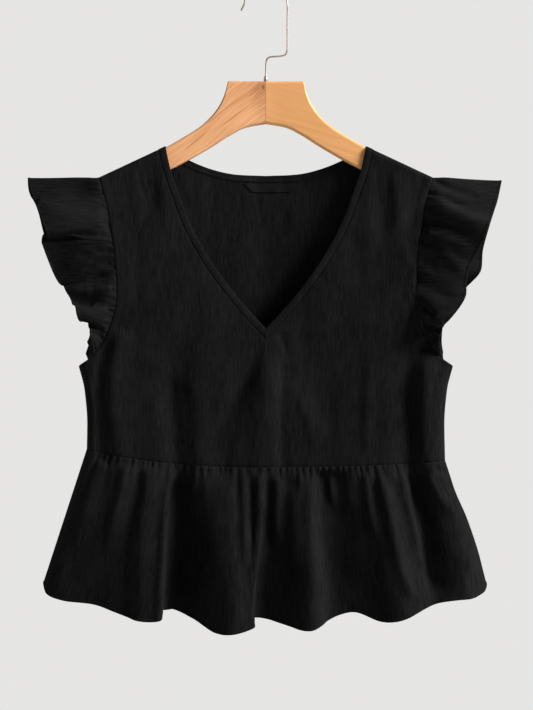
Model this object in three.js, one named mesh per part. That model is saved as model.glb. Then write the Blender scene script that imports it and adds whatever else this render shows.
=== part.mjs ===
// A V-neck peplum top with gathered ruffle sleeves, hung on a wooden hanger with a wire hook.
// Millimetres. +X is the right side as seen from the front, +Z is up, and the front faces -Y.
// The origin is the point inside the hook's arch that rests on a rod.

import * as THREE from "three";

// Driving sizes of the cloth
const wall = 1.2; // thickness of a cloth wall
const seamGap = 0.3; // parting between two pieces at a seam
const neckBandWidth = 8;
const shoulder = { neckHalf: 120.3, neckHeight: -197.4, slope: 0.477 };
const foldOver = { shoulder: 5, side: 15 }; // how quickly the cloth turns at a shoulder and at a side
const sweep = { slope: 0.078, softness: 8, low: -540, high: -250, lowShare: 0.3 }; // arms that reach forward
const underarmMiddle = -434; // height of the back's middle line level with the underarm
const waist = { height: -582, leftRise: 21, rightRise: 7.5, power: 2.4, half: 215.5 };

// Half outlines, from the top down or from the middle out
const armholeOutline = [
  { x: 200, z: -235.4 },
  { x: 192, z: -263 },
  { x: 183.5, z: -311 },
  { x: 178.5, z: -364 },
  { x: 180.5, z: -392 },
  { x: 194, z: -430 },
  { x: 209, z: -450 },
  { x: 224.5, z: -461 },
];
const sideOutline = [
  { x: 224.5, z: -461 },
  { x: 217.6, z: -490 },
  { x: 214.5, z: -530 },
  { x: 215.5, z: -582 },
];
const frontNeckOutline = [
  { x: 0, z: -416 },
  { x: 26.6, z: -387 },
  { x: 52, z: -355 },
  { x: 72.6, z: -324 },
  { x: 91.8, z: -287 },
  { x: 104.8, z: -252 },
  { x: 114.4, z: -224 },
  { x: 120.3, z: -197.4 },
];
const backNeckOutline = [
  { x: 0, z: -231.4 },
  { x: 41.4, z: -229.3 },
  { x: 69, z: -222.6 },
  { x: 92.4, z: -213 },
  { x: 120.3, z: -197.4 },
];

// How far the front and the back stand from the middle of the garment, by height
const depthByHeight = [
  { z: -582, front: 17, back: 12 },
  { z: -520, front: 17, back: 12 },
  { z: -430, front: 16, back: 11.5 },
  { z: -340, front: 13, back: 10 },
  { z: -260, front: 9, back: 8.2 },
  { z: -197, front: 7.8, back: 7.8 },
];

// Soft folds of the bodice: a line from one point to another, its width, and how far it stands forward
const frontFolds = [
  { fromX: 2, fromZ: -436, toX: -42, toZ: -580, width: 15, forward: -4 },
  { fromX: 4, fromZ: -436, toX: 2, toZ: -560, width: 17, forward: 3 },
  { fromX: -104, fromZ: -410, toX: -94, toZ: -580, width: 20, forward: -3 },
  { fromX: -172, fromZ: -420, toX: -186, toZ: -575, width: 15, forward: -3 },
  { fromX: 56, fromZ: -430, toX: 76, toZ: -575, width: 20, forward: -2.5 },
  { fromX: 168, fromZ: -425, toX: 180, toZ: -580, width: 13, forward: -4.5 },
];
const backFolds = [
  { fromX: -70, fromZ: -330, toX: -90, toZ: -580, width: 26, forward: 3 },
  { fromX: 60, fromZ: -330, toX: 96, toZ: -580, width: 26, forward: 3 },
  { fromX: 0, fromZ: -420, toX: 6, toZ: -580, width: 22, forward: -2.5 },
];

// The hem of each peplum panel: where a fold starts at the waist, and where it reaches the hem
const frontHem = [
  { waist: -215.4, x: -267.9, y: -3, z: -722.9 },
  { waist: -208, x: -261.5, y: -17, z: -734.4 },
  { waist: -194, x: -242.8, y: -25, z: -740.9 },
  { waist: -170, x: -203.7, y: -28, z: -745.8 },
  { waist: -130, x: -149.2, y: -42, z: -763.3 },
  { waist: -112, x: -126.8, y: -47, z: -762.7 },
  { waist: -108.5, x: -123.6, y: -40, z: -756.6 },
  { waist: -106, x: -128.1, y: -30, z: -751.9 },
  { waist: -98, x: -111.7, y: -19, z: -752.7 },
  { waist: -84, x: -88.7, y: -22, z: -761.8 },
  { waist: -60, x: -57.3, y: -41, z: -777.8 },
  { waist: -38, x: -35.5, y: -47, z: -778 },
  { waist: -5, x: -10.9, y: -44, z: -769 },
  { waist: 2, x: -10.9, y: -33, z: -762.4 },
  { waist: 11, x: 4, y: -20, z: -764.5 },
  { waist: 28, x: 28.8, y: -27, z: -771.5 },
  { waist: 52, x: 54, y: -43, z: -775.1 },
  { waist: 81, x: 89.5, y: -27, z: -758.2 },
  { waist: 94, x: 106.8, y: -18, z: -755.1 },
  { waist: 116, x: 136.8, y: -35, z: -765.2 },
  { waist: 130, x: 153.2, y: -43, z: -764.7 },
  { waist: 168, x: 202, y: -25, z: -745 },
  { waist: 192, x: 227.3, y: -20, z: -740.1 },
  { waist: 215.4, x: 250.7, y: -19, z: -738.2 },
];
const backHem = [
  { waist: -215.4, x: -268, y: -2.7, z: -723 },
  { waist: -206, x: -260.3, y: 11, z: -730.5 },
  { waist: -180, x: -225.1, y: 24, z: -745.1 },
  { waist: -146, x: -177.8, y: 14, z: -748 },
  { waist: -108, x: -132.1, y: 30, z: -759 },
  { waist: -72, x: -89, y: 16, z: -753.3 },
  { waist: -36, x: -44.7, y: 31, z: -764.2 },
  { waist: 0, x: 0, y: 17, z: -756.4 },
  { waist: 34, x: 42.7, y: 32, z: -765.3 },
  { waist: 72, x: 88.9, y: 16, z: -753.3 },
  { waist: 110, x: 134.1, y: 29, z: -758.9 },
  { waist: 148, x: 179.8, y: 14, z: -748 },
  { waist: 182, x: 228.9, y: 22, z: -742.8 },
  { waist: 203, x: 259.4, y: 12, z: -730.6 },
  { waist: 212, x: 267.1, y: -1, z: -722.2 },
  { waist: 215.4, x: 251, y: -18.87, z: -738.2 },
];
const rightSideBow = 5; // how far the right side swells out half way down
const rightSeamTurn = 65; // degrees by which the right side seam has turned to the front at the hem

// The free edge of each sleeve ruffle, by its share of the armhole from the shoulder tip down
const leftRuffleFront = [
  { seam: 0, x: -285.1, y: -16, z: -236.3 },
  { seam: 0.06, x: -282.2, y: -28, z: -249.2 },
  { seam: 0.15, x: -274, y: -40, z: -267 },
  { seam: 0.26, x: -263.4, y: -47, z: -295.1 },
  { seam: 0.31, x: -257.5, y: -42, z: -307.6 },
  { seam: 0.33, x: -262.7, y: -30, z: -302 },
  { seam: 0.36, x: -266.9, y: -27, z: -309.8 },
  { seam: 0.47, x: -258.2, y: -35, z: -339 },
  { seam: 0.57, x: -245.4, y: -39, z: -364.9 },
  { seam: 0.64, x: -231.4, y: -29, z: -385.4 },
  { seam: 0.7, x: -225.7, y: -38, z: -396.5 },
  { seam: 0.75, x: -220.9, y: -36, z: -406.4 },
  { seam: 0.79, x: -212.7, y: -28, z: -409.2 },
  { seam: 0.87, x: -209.4, y: -31, z: -424.2 },
  { seam: 0.94, x: -211.2, y: -22, z: -437 },
];
const leftRuffleBack = [
  { seam: 0, x: -286.6, y: -16, z: -236.3 },
  { seam: 0.1, x: -284.9, y: -4, z: -251.4 },
  { seam: 0.22, x: -277.5, y: 12, z: -268.4 },
  { seam: 0.33, x: -269.8, y: 15, z: -298.5 },
  { seam: 0.42, x: -263.9, y: 7, z: -317.1 },
  { seam: 0.53, x: -249, y: 16, z: -346.9 },
  { seam: 0.62, x: -235, y: 14, z: -370 },
  { seam: 0.7, x: -223, y: 6, z: -390 },
  { seam: 0.8, x: -211, y: 11, z: -411 },
  { seam: 0.88, x: -212, y: 5, z: -428 },
  { seam: 0.95, x: -217.3, y: 3, z: -446 },
];
const rightRuffleFront = [
  { seam: 0, x: 282.6, y: -16, z: -239.3 },
  { seam: 0.05, x: 279.4, y: -27, z: -250.1 },
  { seam: 0.14, x: 271.1, y: -40, z: -275.9 },
  { seam: 0.24, x: 262.6, y: -45, z: -299.9 },
  { seam: 0.34, x: 254.4, y: -38, z: -319.3 },
  { seam: 0.42, x: 243.9, y: -34, z: -340.9 },
  { seam: 0.5, x: 238.7, y: -37, z: -360.8 },
  { seam: 0.58, x: 237, y: -44, z: -377.9 },
  { seam: 0.66, x: 227, y: -46, z: -394.7 },
  { seam: 0.71, x: 212.7, y: -40, z: -409.4 },
  { seam: 0.735, x: 212.5, y: -30, z: -407.3 },
  { seam: 0.8, x: 210.7, y: -28, z: -416.2 },
  { seam: 0.88, x: 206.5, y: -31, z: -430.1 },
  { seam: 0.94, x: 208.1, y: -23, z: -441 },
];
const rightRuffleBack = [
  { seam: 0, x: 282.6, y: -16, z: -239.3 },
  { seam: 0.11, x: 279, y: -3, z: -261.4 },
  { seam: 0.24, x: 270.5, y: 12, z: -292.6 },
  { seam: 0.34, x: 263, y: 13, z: -320.8 },
  { seam: 0.43, x: 259.3, y: 6, z: -347.3 },
  { seam: 0.53, x: 243, y: 15, z: -366 },
  { seam: 0.62, x: 229, y: 14, z: -383 },
  { seam: 0.7, x: 219, y: 6, z: -398 },
  { seam: 0.79, x: 214, y: 10, z: -414 },
  { seam: 0.87, x: 212, y: 5, z: -427 },
  { seam: 0.95, x: 213, y: 2, z: -444 },
];

// Gathers: how many, how far they stand out, and how far they run from the seam
const peplumGathers = { count: 46, forward: 2.4, run: 0.3 };
const ruffleGathers = { count: 26, forward: 2, run: 0.42 };

// Meshing of the cloth
const rowsDownArmhole = [0, 0.7, 2, 4, 8, 20, 40, 66, 94, 122, 148, 168, 184, 199, 213, 227, 241, 1000];
const bodiceSideRows = 5;
const bodiceColumns = [0, 0.12, 0.24, 0.36, 0.48, 0.6, 0.71, 0.81, 0.9, 0.96, 0.985, 1];
const peplumMesh = { fine: 140, coarse: 58, fineRows: [0, 0.05, 0.13], coarseRows: [0.24, 0.42, 0.62, 0.82, 1] };
const ruffleMesh = { fine: 92, coarse: 50, fineRows: [0, 0.09, 0.22], coarseRows: [0.4, 0.68, 1] };

// Hanger and hook
const arm = { thickness: 12, edgeRadius: 4, tip: 190, joint: seamGap / 2 };
const armOutline = [
  { x: 0, top: -118.4, bottom: -169.4 },
  { x: 24, top: -118.4, bottom: -173.8 },
  { x: 45, top: -118.4, bottom: -184.5 },
  { x: 48, top: -129, bottom: -186.3 },
  { x: 52, top: -140.4, bottom: -189 },
  { x: 62, top: -156.9, bottom: -195.6 },
  { x: 78.5, top: -173.2, bottom: -205.6 },
  { x: 96, top: -184.6, bottom: -215.6 },
  { x: 120, top: -198.7, bottom: -228 },
  { x: 150, top: -214, bottom: -240.5 },
  { x: 178, top: -227.8, bottom: -252 },
  { x: 185, top: -231.8, bottom: -253 },
  { x: 190, top: -238, bottom: -249 },
];
const armStations = [0, 16, 32, 42, 45, 46.5, 48, 50, 53, 58, 66, 76, 88, 102, 120, 150, 178, 185, 188.4, 190];
const hook = { radius: 1, arch: 26, stemFoot: -118.1, sides: 8, steps: 60 };
const hookRoute = [
  { x: 0, z: hook.stemFoot },
  { x: 0.2, z: -104 },
  { x: 1.2, z: -92.5 },
  { x: 6.5, z: -88.4 },
  { x: 19, z: -87.4 },
  { x: 25, z: -83 },
  { x: 26, z: -72 },
  { x: 26, z: -48 },
];
const hookTip = [
  { x: -26.8, z: -28 },
  { x: -30.8, z: -33.5 },
];
const collar = { bore: 1.35, radius: 2.5, foot: -118.1, height: 6.6 };

// The blank woven label inside the back neck
const label = { top: -240.6, bottom: -251, topLeft: -27, topRight: 44, bottomLeft: -17, bottomRight: 30, thickness: 0.5 };

// Finishes
const cloth = { color: 0x1b1b1c, roughness: 0.92, metalness: 0 };
const satin = { color: 0x101011, roughness: 0.6, metalness: 0 };
const palePlywood = { color: 0xe0a873, roughness: 0.55, metalness: 0 };
const wire = { color: 0x9c938a, roughness: 0.35, metalness: 1 };

const forwards = new THREE.Vector3(0, 1, 0);
const upward = new THREE.Vector3(0, 0, 1);

// Smooth value of a table's column at a place along its key, with no overshoot between rows.
function smoothAt(rows, key, at, column) {
  const sign = Math.sign(rows.at(-1)[key] - rows[0][key]);
  const last = rows.length - 2;
  let i = 0;
  while (i < last && (at - rows[i + 1][key]) * sign > 0) i += 1;
  const slope = (k) => (rows[k + 1][column] - rows[k][column]) / (rows[k + 1][key] - rows[k][key]);
  const tangent = (k) => {
    if (k === 0) return slope(0);
    if (k > last) return slope(last);
    const [a, b] = [slope(k - 1), slope(k)];
    return a * b <= 0 ? 0 : (2 * a * b) / (a + b);
  };
  const span = rows[i + 1][key] - rows[i][key];
  const t = THREE.MathUtils.clamp((at - rows[i][key]) / span, 0, 1);
  const [t2, t3] = [t * t, t * t * t];
  return (
    (2 * t3 - 3 * t2 + 1) * rows[i][column] +
    (t3 - 2 * t2 + t) * span * tangent(i) +
    (3 * t2 - 2 * t3) * rows[i + 1][column] +
    (t3 - t2) * span * tangent(i + 1)
  );
}

// A curve through the rows of an outline, in the plane y = 0.
function outlineCurve(rows) {
  return new THREE.CatmullRomCurve3(rows.map((r) => new THREE.Vector3(r.x, 0, r.z)), false, "centripetal");
}

const shoulderHeight = (x) => shoulder.neckHeight - shoulder.slope * (Math.abs(x) - shoulder.neckHalf);
const sweptBack = (x) => -sweep.slope * (Math.hypot(x, sweep.softness) - sweep.softness);

function waistHeight(x) {
  const rise = x < 0 ? waist.leftRise : waist.rightRise;
  return waist.height + rise * Math.min(1, Math.abs(x) / waist.half) ** waist.power;
}

// The middle of the garment between its front and back.
function middle(x, z) {
  const share = THREE.MathUtils.smoothstep(z, sweep.low, sweep.high);
  return sweptBack(x) * (sweep.lowShare + (1 - sweep.lowShare) * share);
}

// 0 at a folded-over edge and 1 once the cloth has turned away from it.
function turned(distance, reach) {
  const left = 1 - THREE.MathUtils.clamp(distance / reach, 0, 1);
  return Math.sqrt(Math.max(0, 1 - left * left));
}

// Sum of the soft folds at a point of a bodice panel.
function foldsAt(folds, x, z) {
  let sum = 0;
  for (const f of folds) {
    const [dx, dz] = [f.toX - f.fromX, f.toZ - f.fromZ];
    const along = ((x - f.fromX) * dx + (z - f.fromZ) * dz) / (dx * dx + dz * dz);
    const aside = ((x - f.fromX) * dz - (z - f.fromZ) * dx) / Math.hypot(dx, dz);
    const grown = THREE.MathUtils.smoothstep(along, 0, 0.35);
    sum += f.forward * grown * Math.exp(-((aside / f.width) ** 2));
  }
  return sum;
}

// neckRows is how many of the rows down the armhole end on the neck edge; the others end on the middle line.
const bodiceSides = {
  front: { facing: -1, neck: frontNeckOutline, folds: frontFolds, depth: "front", neckRows: 17 },
  back: { facing: 1, neck: backNeckOutline, folds: backFolds, depth: "back", neckRows: 9 },
};

// A point of the bodice's front or back over a place in the plane of its outline.
function bodicePoint(side, x, z) {
  const sideHalf = smoothAt(sideOutline, "z", Math.min(z, sideOutline[0].z), "x");
  const turn = turned(shoulderHeight(x) - z, foldOver.shoulder) * turned(sideHalf - Math.abs(x), foldOver.side);
  const stand = smoothAt(depthByHeight, "z", z, side.depth) + foldsAt(side.folds, x, z);
  return new THREE.Vector3(x, middle(x, z) + side.facing * (seamGap / 2 + stand * turn), z);
}

// The neck outline moved away from the opening, its ends sliding down the middle and along the shoulder.
function insetNeck(rows, inset) {
  return rows.map((r, i) => {
    const before = rows[Math.max(0, i - 1)];
    const after = rows[Math.min(rows.length - 1, i + 1)];
    const away = new THREE.Vector2(after.z - before.z, before.x - after.x).normalize();
    if (i === 0) return { x: 0, z: r.z + inset / away.y };
    if (i < rows.length - 1) return { x: r.x + inset * away.x, z: r.z + inset * away.y };
    const across = new THREE.Vector2(1, -shoulder.slope);
    const x = r.x + inset / across.dot(away);
    return { x, z: shoulderHeight(x) };
  });
}

// The part of a direction that is square to one or two seam directions.
function squareTo(normal, axes) {
  if (axes.length === 2) {
    const square = axes[0].clone().cross(axes[1]).normalize();
    return square.multiplyScalar(Math.sign(square.dot(normal)));
  }
  for (const axis of axes) normal.addScaledVector(axis, -normal.dot(axis));
  return normal.normalize();
}

// A wall of cloth around a sheet of triangles: an outer and an inner face, and a rim along the sheet's edges.
// seams[index] lists the directions across the seams at a point, which the wall's ends stay square to.
function wallAround(points, faces, thickness, seams = []) {
  const normals = points.map(() => new THREE.Vector3());
  for (const [a, b, c] of faces) {
    const n = points[b].clone().sub(points[a]).cross(points[c].clone().sub(points[a]));
    for (const i of [a, b, c]) normals[i].add(n);
  }
  normals.forEach((n, i) => n.copy(squareTo(n.clone().normalize(), seams[i] ?? [])));
  const count = points.length;
  const position = new Float32Array(count * 6);
  points.forEach((p, i) => {
    p.clone().addScaledVector(normals[i], thickness / 2).toArray(position, i * 3);
    p.clone().addScaledVector(normals[i], -thickness / 2).toArray(position, (i + count) * 3);
  });
  const open = new Map();
  for (const [a, b, c] of faces) {
    for (const [from, to] of [[a, b], [b, c], [c, a]]) {
      if (!open.delete(to + "_" + from)) open.set(from + "_" + to, [from, to]);
    }
  }
  const index = [];
  for (const [a, b, c] of faces) index.push(a, b, c, c + count, b + count, a + count);
  for (const [from, to] of open.values()) {
    index.push(to, from, from + count, to, from + count, to + count);
  }
  const geometry = new THREE.BufferGeometry();
  geometry.setAttribute("position", new THREE.BufferAttribute(position, 3));
  geometry.setIndex(index);
  return geometry;
}

// Joins rows of points, which may differ in number, into one sheet of triangles.
// Each row holds { at, index } pairs, at running from 0 to 1 along the row.
function knitRows(rows) {
  const faces = [];
  for (let r = 0; r + 1 < rows.length; r += 1) {
    const [low, high] = [rows[r], rows[r + 1]];
    let [i, j] = [0, 0];
    while (i + 1 < low.length || j + 1 < high.length) {
      const stepLow = j + 1 >= high.length || (i + 1 < low.length && low[i + 1].at <= high[j + 1].at);
      if (stepLow) {
        faces.push([low[i].index, low[i + 1].index, high[j].index]);
        i += 1;
      } else {
        faces.push([low[i].index, high[j + 1].index, high[j].index]);
        j += 1;
      }
    }
  }
  return faces.filter(([a, b, c]) => a !== b && b !== c && c !== a);
}

const flipped = (faces) => faces.map(([a, b, c]) => [a, c, b]);

// The rows of a panel above the underarm: each runs from the neck edge or the middle line to the armhole.
function rowsAboveUnderarm(side, inset) {
  const neck = outlineCurve(insetNeck(side.neck, inset));
  const armhole = outlineCurve(armholeOutline);
  const neckFoot = neck.getPointAt(0);
  const distances = rowsDownArmhole.map((distance) => Math.min(distance, armhole.getLength()));
  const alongNeck = distances[side.neckRows];
  const stretch = alongNeck / neck.getLength();
  return distances.map((distance, r) => {
    const share = Math.min(1, distance / alongNeck);
    const inner = neck.getPointAt(1 - (share * stretch) / (1 + (stretch - 1) * share));
    if (r > side.neckRows) {
      const below = (distance - alongNeck) / (armhole.getLength() - alongNeck);
      inner.set(0, 0, THREE.MathUtils.lerp(neckFoot.z, underarmMiddle, below));
    }
    const down = distance / armhole.getLength();
    return { down, inner, outer: armhole.getPointAt(down) };
  });
}

// Which way the armhole's seam faces, at a share of the way down it.
function armholeOutward(sign, share) {
  const along = outlineCurve(armholeOutline).getTangentAt(share);
  return new THREE.Vector3(-along.z * sign, 0, along.x).normalize();
}

// A point on a panel's armhole edge, between the ends of its rows.
function armholeEdge(side, sign, share) {
  const rows = rowsAboveUnderarm(side, 0);
  const i = Math.max(1, rows.findIndex((row) => row.down >= share));
  const [a, b] = [rows[i - 1], rows[i]];
  const point = (row) => bodicePoint(side, sign * row.outer.x, row.outer.z);
  return point(a).lerp(point(b), (share - a.down) / (b.down - a.down));
}

// Bodice panels: rows run from the middle or the neck edge out to the side or the armhole.
function bodicePanel(side) {
  const aboveUnderarm = rowsAboveUnderarm(side, neckBandWidth + seamGap).toReversed();
  const points = [];
  const seams = [];
  const onMiddle = new Map();
  const place = (x, z, across) => {
    if (x === 0 && onMiddle.has(z)) return onMiddle.get(z);
    points.push(bodicePoint(side, x, z));
    seams.push(across);
    if (x === 0) onMiddle.set(z, points.length - 1);
    return points.length - 1;
  };
  const faces = [];
  for (const sign of [-1, 1]) {
    const cornerHeight = waistHeight(sign * waist.half);
    const rows = [];
    for (let r = 0; r < bodiceSideRows; r += 1) {
      const up = r / bodiceSideRows;
      const inner = { x: 0, z: THREE.MathUtils.lerp(waist.height, aboveUnderarm[0].inner.z, up) };
      const sideHeight = THREE.MathUtils.lerp(cornerHeight, sideOutline[0].z, up);
      const outer = { x: smoothAt(sideOutline, "z", sideHeight, "x"), z: sideHeight };
      const bow = (x) => waistHeight(sign * x) - THREE.MathUtils.lerp(waist.height, cornerHeight, x / outer.x);
      rows.push({ inner, outer, bow: (x) => (1 - up) * bow(x), across: r === 0 ? [upward] : [], end: forwards });
    }
    for (const [r, row] of aboveUnderarm.entries()) {
      const end = r === 0 ? forwards : armholeOutward(sign, row.down);
      rows.push({ ...row, bow: () => 0, across: row.down === 0 ? [forwards] : [], end });
    }
    const knitted = rows.map((row) =>
      bodiceColumns.map((u) => {
        const x = THREE.MathUtils.lerp(row.inner.x, row.outer.x, u);
        const z = row.down === 0 ? shoulderHeight(x) : THREE.MathUtils.lerp(row.inner.z, row.outer.z, u) + row.bow(x);
        return { at: u, index: place(sign * x, z, u === 1 ? [...row.across, row.end] : row.across) };
      }),
    );
    const made = knitRows(knitted);
    faces.push(...(sign * side.facing < 0 ? made : flipped(made)));
  }
  return wallAround(points, faces, wall, seams);
}

// A neck band between the edge of the opening and the panel: one of the V's two sides, or the whole back.
function neckBand(side, signs) {
  const upToMiddle = (inset) => rowsAboveUnderarm(side, inset).slice(0, side.neckRows + 1).toReversed();
  const footRows = upToMiddle(neckBandWidth);
  const parting = signs.length === 1 ? seamGap / 2 : 0;
  const points = [];
  const seams = [];
  const rows = [];
  for (const sign of signs) {
    for (const [r, { down, inner: edge }] of upToMiddle(0).entries()) {
      if (r === 0 && rows.length > 0) continue;
      const row = [0, 1].map((w) => {
        const x = Math.max(parting, THREE.MathUtils.lerp(edge.x, footRows[r].inner.x, w));
        const z = down === 0 ? shoulderHeight(x) : THREE.MathUtils.lerp(edge.z, footRows[r].inner.z, w);
        points.push(bodicePoint(side, sign * x, z));
        seams.push(down === 0 ? [forwards] : []);
        return { at: w, index: points.length - 1 };
      });
      if (sign < 0) rows.unshift(row);
      else rows.push(row);
    }
  }
  const made = knitRows(rows);
  return wallAround(points, side.facing < 0 ? flipped(made) : made, wall, seams);
}

// A value from 0 to 1 that looks random but is the same in each build.
const scatter = (n) => {
  const v = Math.sin(n * 127.1 + 11.7) * 43758.5453;
  return v - Math.floor(v);
};

// Height of the gathers at a share of the seam and a share of the way to the free edge.
function gatherAt(gathers, along, out) {
  const n = along * gathers.count;
  const k = Math.floor(n);
  const run = gathers.run * (0.5 + scatter(k));
  const rise = THREE.MathUtils.smoothstep(out, -0.02, 0.05) * (1 - THREE.MathUtils.smoothstep(out, run * 0.3, run));
  const size = gathers.forward * (0.6 + 0.8 * scatter(k + 0.5));
  return size * rise * (Math.sin(Math.PI * (n - k)) ** 2 - 0.35);
}

// A gathered panel from a seam to a free edge. seamPoint(share) is on the seam, and edge holds its rows.
function gatheredSheet({ edge, seamPoint, seamAcross, gathers, mesh, forward, bow }) {
  const free = new THREE.CatmullRomCurve3(edge.map((r) => new THREE.Vector3(r.x, r.y, r.z)), false, "centripetal");
  const starts = new THREE.CatmullRomCurve3(edge.map((r) => new THREE.Vector3(r.start, 0, 0)), false, "centripetal");
  const points = [];
  const seams = [];
  const startAt = (share) => starts.getPoint(free.getUtoTmapping(share)).x;
  const surface = (share, out) => {
    const t = free.getUtoTmapping(share);
    const start = starts.getPoint(t).x;
    const from = seamPoint(start);
    const to = free.getPoint(t);
    const p = from.clone().lerp(to, out);
    p.x += bow(start) * Math.sin(Math.PI * out);
    const next = free.getPoint(Math.min(1, t + 0.01)).sub(free.getPoint(Math.max(0, t - 0.01)));
    const normal = forward(next, to.clone().sub(from));
    return p.addScaledVector(normal, gatherAt(gathers, share, out));
  };
  const rows = [];
  const addRow = (out, columns) => {
    rows.push(
      Array.from({ length: columns + 1 }, (_, c) => {
        points.push(surface(c / columns, out));
        seams.push(seamAcross(startAt(c / columns), out));
        return { at: c / columns, index: points.length - 1 };
      }),
    );
  };
  for (const out of mesh.fineRows) addRow(out, mesh.fine);
  for (const out of mesh.coarseRows) addRow(out, mesh.coarse);
  return { points, faces: knitRows(rows), seams };
}

// Peplum panels hang from the bodice's lower edge.
function peplumPanel(side, hem) {
  const edge = hem.map((r) => ({ ...r, start: r.waist }));
  const sheet = gatheredSheet({
    edge,
    seamPoint: (x) => {
      const held = THREE.MathUtils.clamp(x, -waist.half, waist.half);
      const z = waistHeight(held);
      const widest = smoothAt(sideOutline, "z", z, "x");
      const p = bodicePoint(side, (held / waist.half) * widest, z);
      p.z -= seamGap;
      return p;
    },
    seamAcross: (x, out) => {
      const across = out === 0 ? [upward] : [];
      const turn = x > 0 ? THREE.MathUtils.degToRad(rightSeamTurn) * out : 0;
      if (Math.abs(x) > waist.half - 0.2) across.push(new THREE.Vector3(Math.sin(turn), Math.cos(turn), 0));
      return across;
    },
    gathers: peplumGathers,
    mesh: peplumMesh,
    forward: () => new THREE.Vector3(0, side.facing, 0),
    bow: (x) => rightSideBow * Math.max(0, x / waist.half) ** 6,
  });
  return wallAround(sheet.points, side.facing < 0 ? sheet.faces : flipped(sheet.faces), wall, sheet.seams);
}

// A ruffle runs from the front of an armhole over the shoulder tip to its back.
function sleeveRuffle(sign, front, back) {
  const edge = [
    ...front.toReversed().map((r) => ({ ...r, start: -r.seam })),
    ...back.slice(1).map((r) => ({ ...r, start: r.seam })),
  ];
  const sheet = gatheredSheet({
    edge,
    seamPoint: (share) => {
      const side = share < 0 ? bodiceSides.front : bodiceSides.back;
      const outward = armholeOutward(sign, Math.abs(share));
      return armholeEdge(side, sign, Math.abs(share)).addScaledVector(outward, seamGap);
    },
    seamAcross: (share, out) => (out === 0 ? [armholeOutward(sign, Math.abs(share))] : []),
    gathers: ruffleGathers,
    mesh: ruffleMesh,
    forward: (along, out) => along.clone().cross(out).normalize().multiplyScalar(sign),
    bow: () => 0,
  });
  return wallAround(sheet.points, sign > 0 ? sheet.faces : flipped(sheet.faces), wall, sheet.seams);
}

// Closes a run of rings into a solid, with a flat cap at each end.
function closedLoft(rings) {
  const sides = rings[0].length;
  const position = rings.flat().flatMap((p) => p.toArray());
  const index = [];
  for (let r = 0; r + 1 < rings.length; r += 1) {
    for (let s = 0; s < sides; s += 1) {
      const [a, b] = [r * sides + s, r * sides + ((s + 1) % sides)];
      index.push(a, b, b + sides, a, b + sides, a + sides);
    }
  }
  const last = (rings.length - 1) * sides;
  for (let s = 1; s + 1 < sides; s += 1) {
    index.push(0, s + 1, s, last, last + s, last + s + 1);
  }
  const geometry = new THREE.BufferGeometry();
  geometry.setAttribute("position", new THREE.BufferAttribute(new Float32Array(position), 3));
  geometry.setIndex(index);
  return geometry;
}

// One wooden arm: rounded sections from the glued joint out to the tip.
function hangerArm(sign) {
  const cornerSteps = 3;
  const rings = armStations.map((station) => {
    const x = Math.max(station, arm.joint);
    const top = smoothAt(armOutline, "x", x, "top");
    const bottom = smoothAt(armOutline, "x", x, "bottom");
    const ending = THREE.MathUtils.clamp((arm.tip - x) / 6, 0, 1);
    const half = (arm.thickness / 2) * (0.55 + 0.45 * Math.sqrt(1 - (1 - ending) ** 2));
    const radius = Math.min(arm.edgeRadius, half * 0.9);
    const ring = [];
    for (let corner = 0; corner < 4; corner += 1) {
      const [sideY, sideZ] = [corner === 0 || corner === 3 ? 1 : -1, corner < 2 ? 1 : -1];
      for (let k = 0; k <= cornerSteps; k += 1) {
        const angle = ((corner + k / cornerSteps) * Math.PI) / 2;
        const y = sideY * (half - radius) + radius * Math.cos(angle);
        const z = (sideZ > 0 ? top - radius : bottom + radius) + radius * Math.sin(angle);
        ring.push(new THREE.Vector3(sign * x, sweptBack(x) + y, z));
      }
    }
    return sign > 0 ? ring : ring.reverse();
  });
  return closedLoft(rings);
}

// The wire hook: a stem with a crank, an arch over the rod, and a tip turned outwards.
function hookWire() {
  const centre = hook.radius - hook.arch;
  const archPoints = Array.from({ length: 9 }, (_, k) => {
    const angle = (k / 8) * Math.PI;
    return { x: hook.arch * Math.cos(angle), z: centre + hook.arch * Math.sin(angle) };
  });
  const route = [...hookRoute, ...archPoints, ...hookTip];
  const path = new THREE.CatmullRomCurve3(route.map((p) => new THREE.Vector3(p.x, 0, p.z)), false, "centripetal");
  const section = new THREE.Shape();
  for (let k = 0; k < hook.sides; k += 1) {
    const angle = (k / hook.sides) * 2 * Math.PI;
    const corner = [hook.radius * Math.cos(angle), hook.radius * Math.sin(angle)];
    if (k === 0) section.moveTo(...corner);
    else section.lineTo(...corner);
  }
  section.closePath();
  return new THREE.ExtrudeGeometry(section, { steps: hook.steps, extrudePath: path, bevelEnabled: false });
}

// A small turned collar where the hook enters the wood.
function hookCollar() {
  const top = collar.foot + collar.height;
  const profile = [
    [collar.bore, collar.foot],
    [collar.radius, collar.foot],
    [collar.radius, top - 1],
    [collar.radius - 0.6, top],
    [collar.bore, top],
    [collar.bore, collar.foot],
  ].map(([r, z]) => new THREE.Vector2(r, z));
  return new THREE.LatheGeometry(profile, 16).rotateX(Math.PI / 2);
}

// The label lies on the inside of the back, made from the back's own points.
function neckLabel() {
  const points = [];
  const rows = [0, 1].map((r) =>
    Array.from({ length: 9 }, (_, c) => {
      const z = r ? label.top : label.bottom;
      const [left, right] = r ? [label.topLeft, label.topRight] : [label.bottomLeft, label.bottomRight];
      const p = bodicePoint(bodiceSides.back, THREE.MathUtils.lerp(left, right, c / 8), z);
      p.y -= wall / 2 + seamGap + label.thickness / 2;
      points.push(p);
      return { at: c / 8, index: points.length - 1 };
    }),
  );
  return wallAround(points, knitRows(rows), label.thickness);
}

function named(name, geometry, finish) {
  const mesh = new THREE.Mesh(geometry, new THREE.MeshStandardMaterial(finish));
  mesh.name = name;
  return mesh;
}

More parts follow.
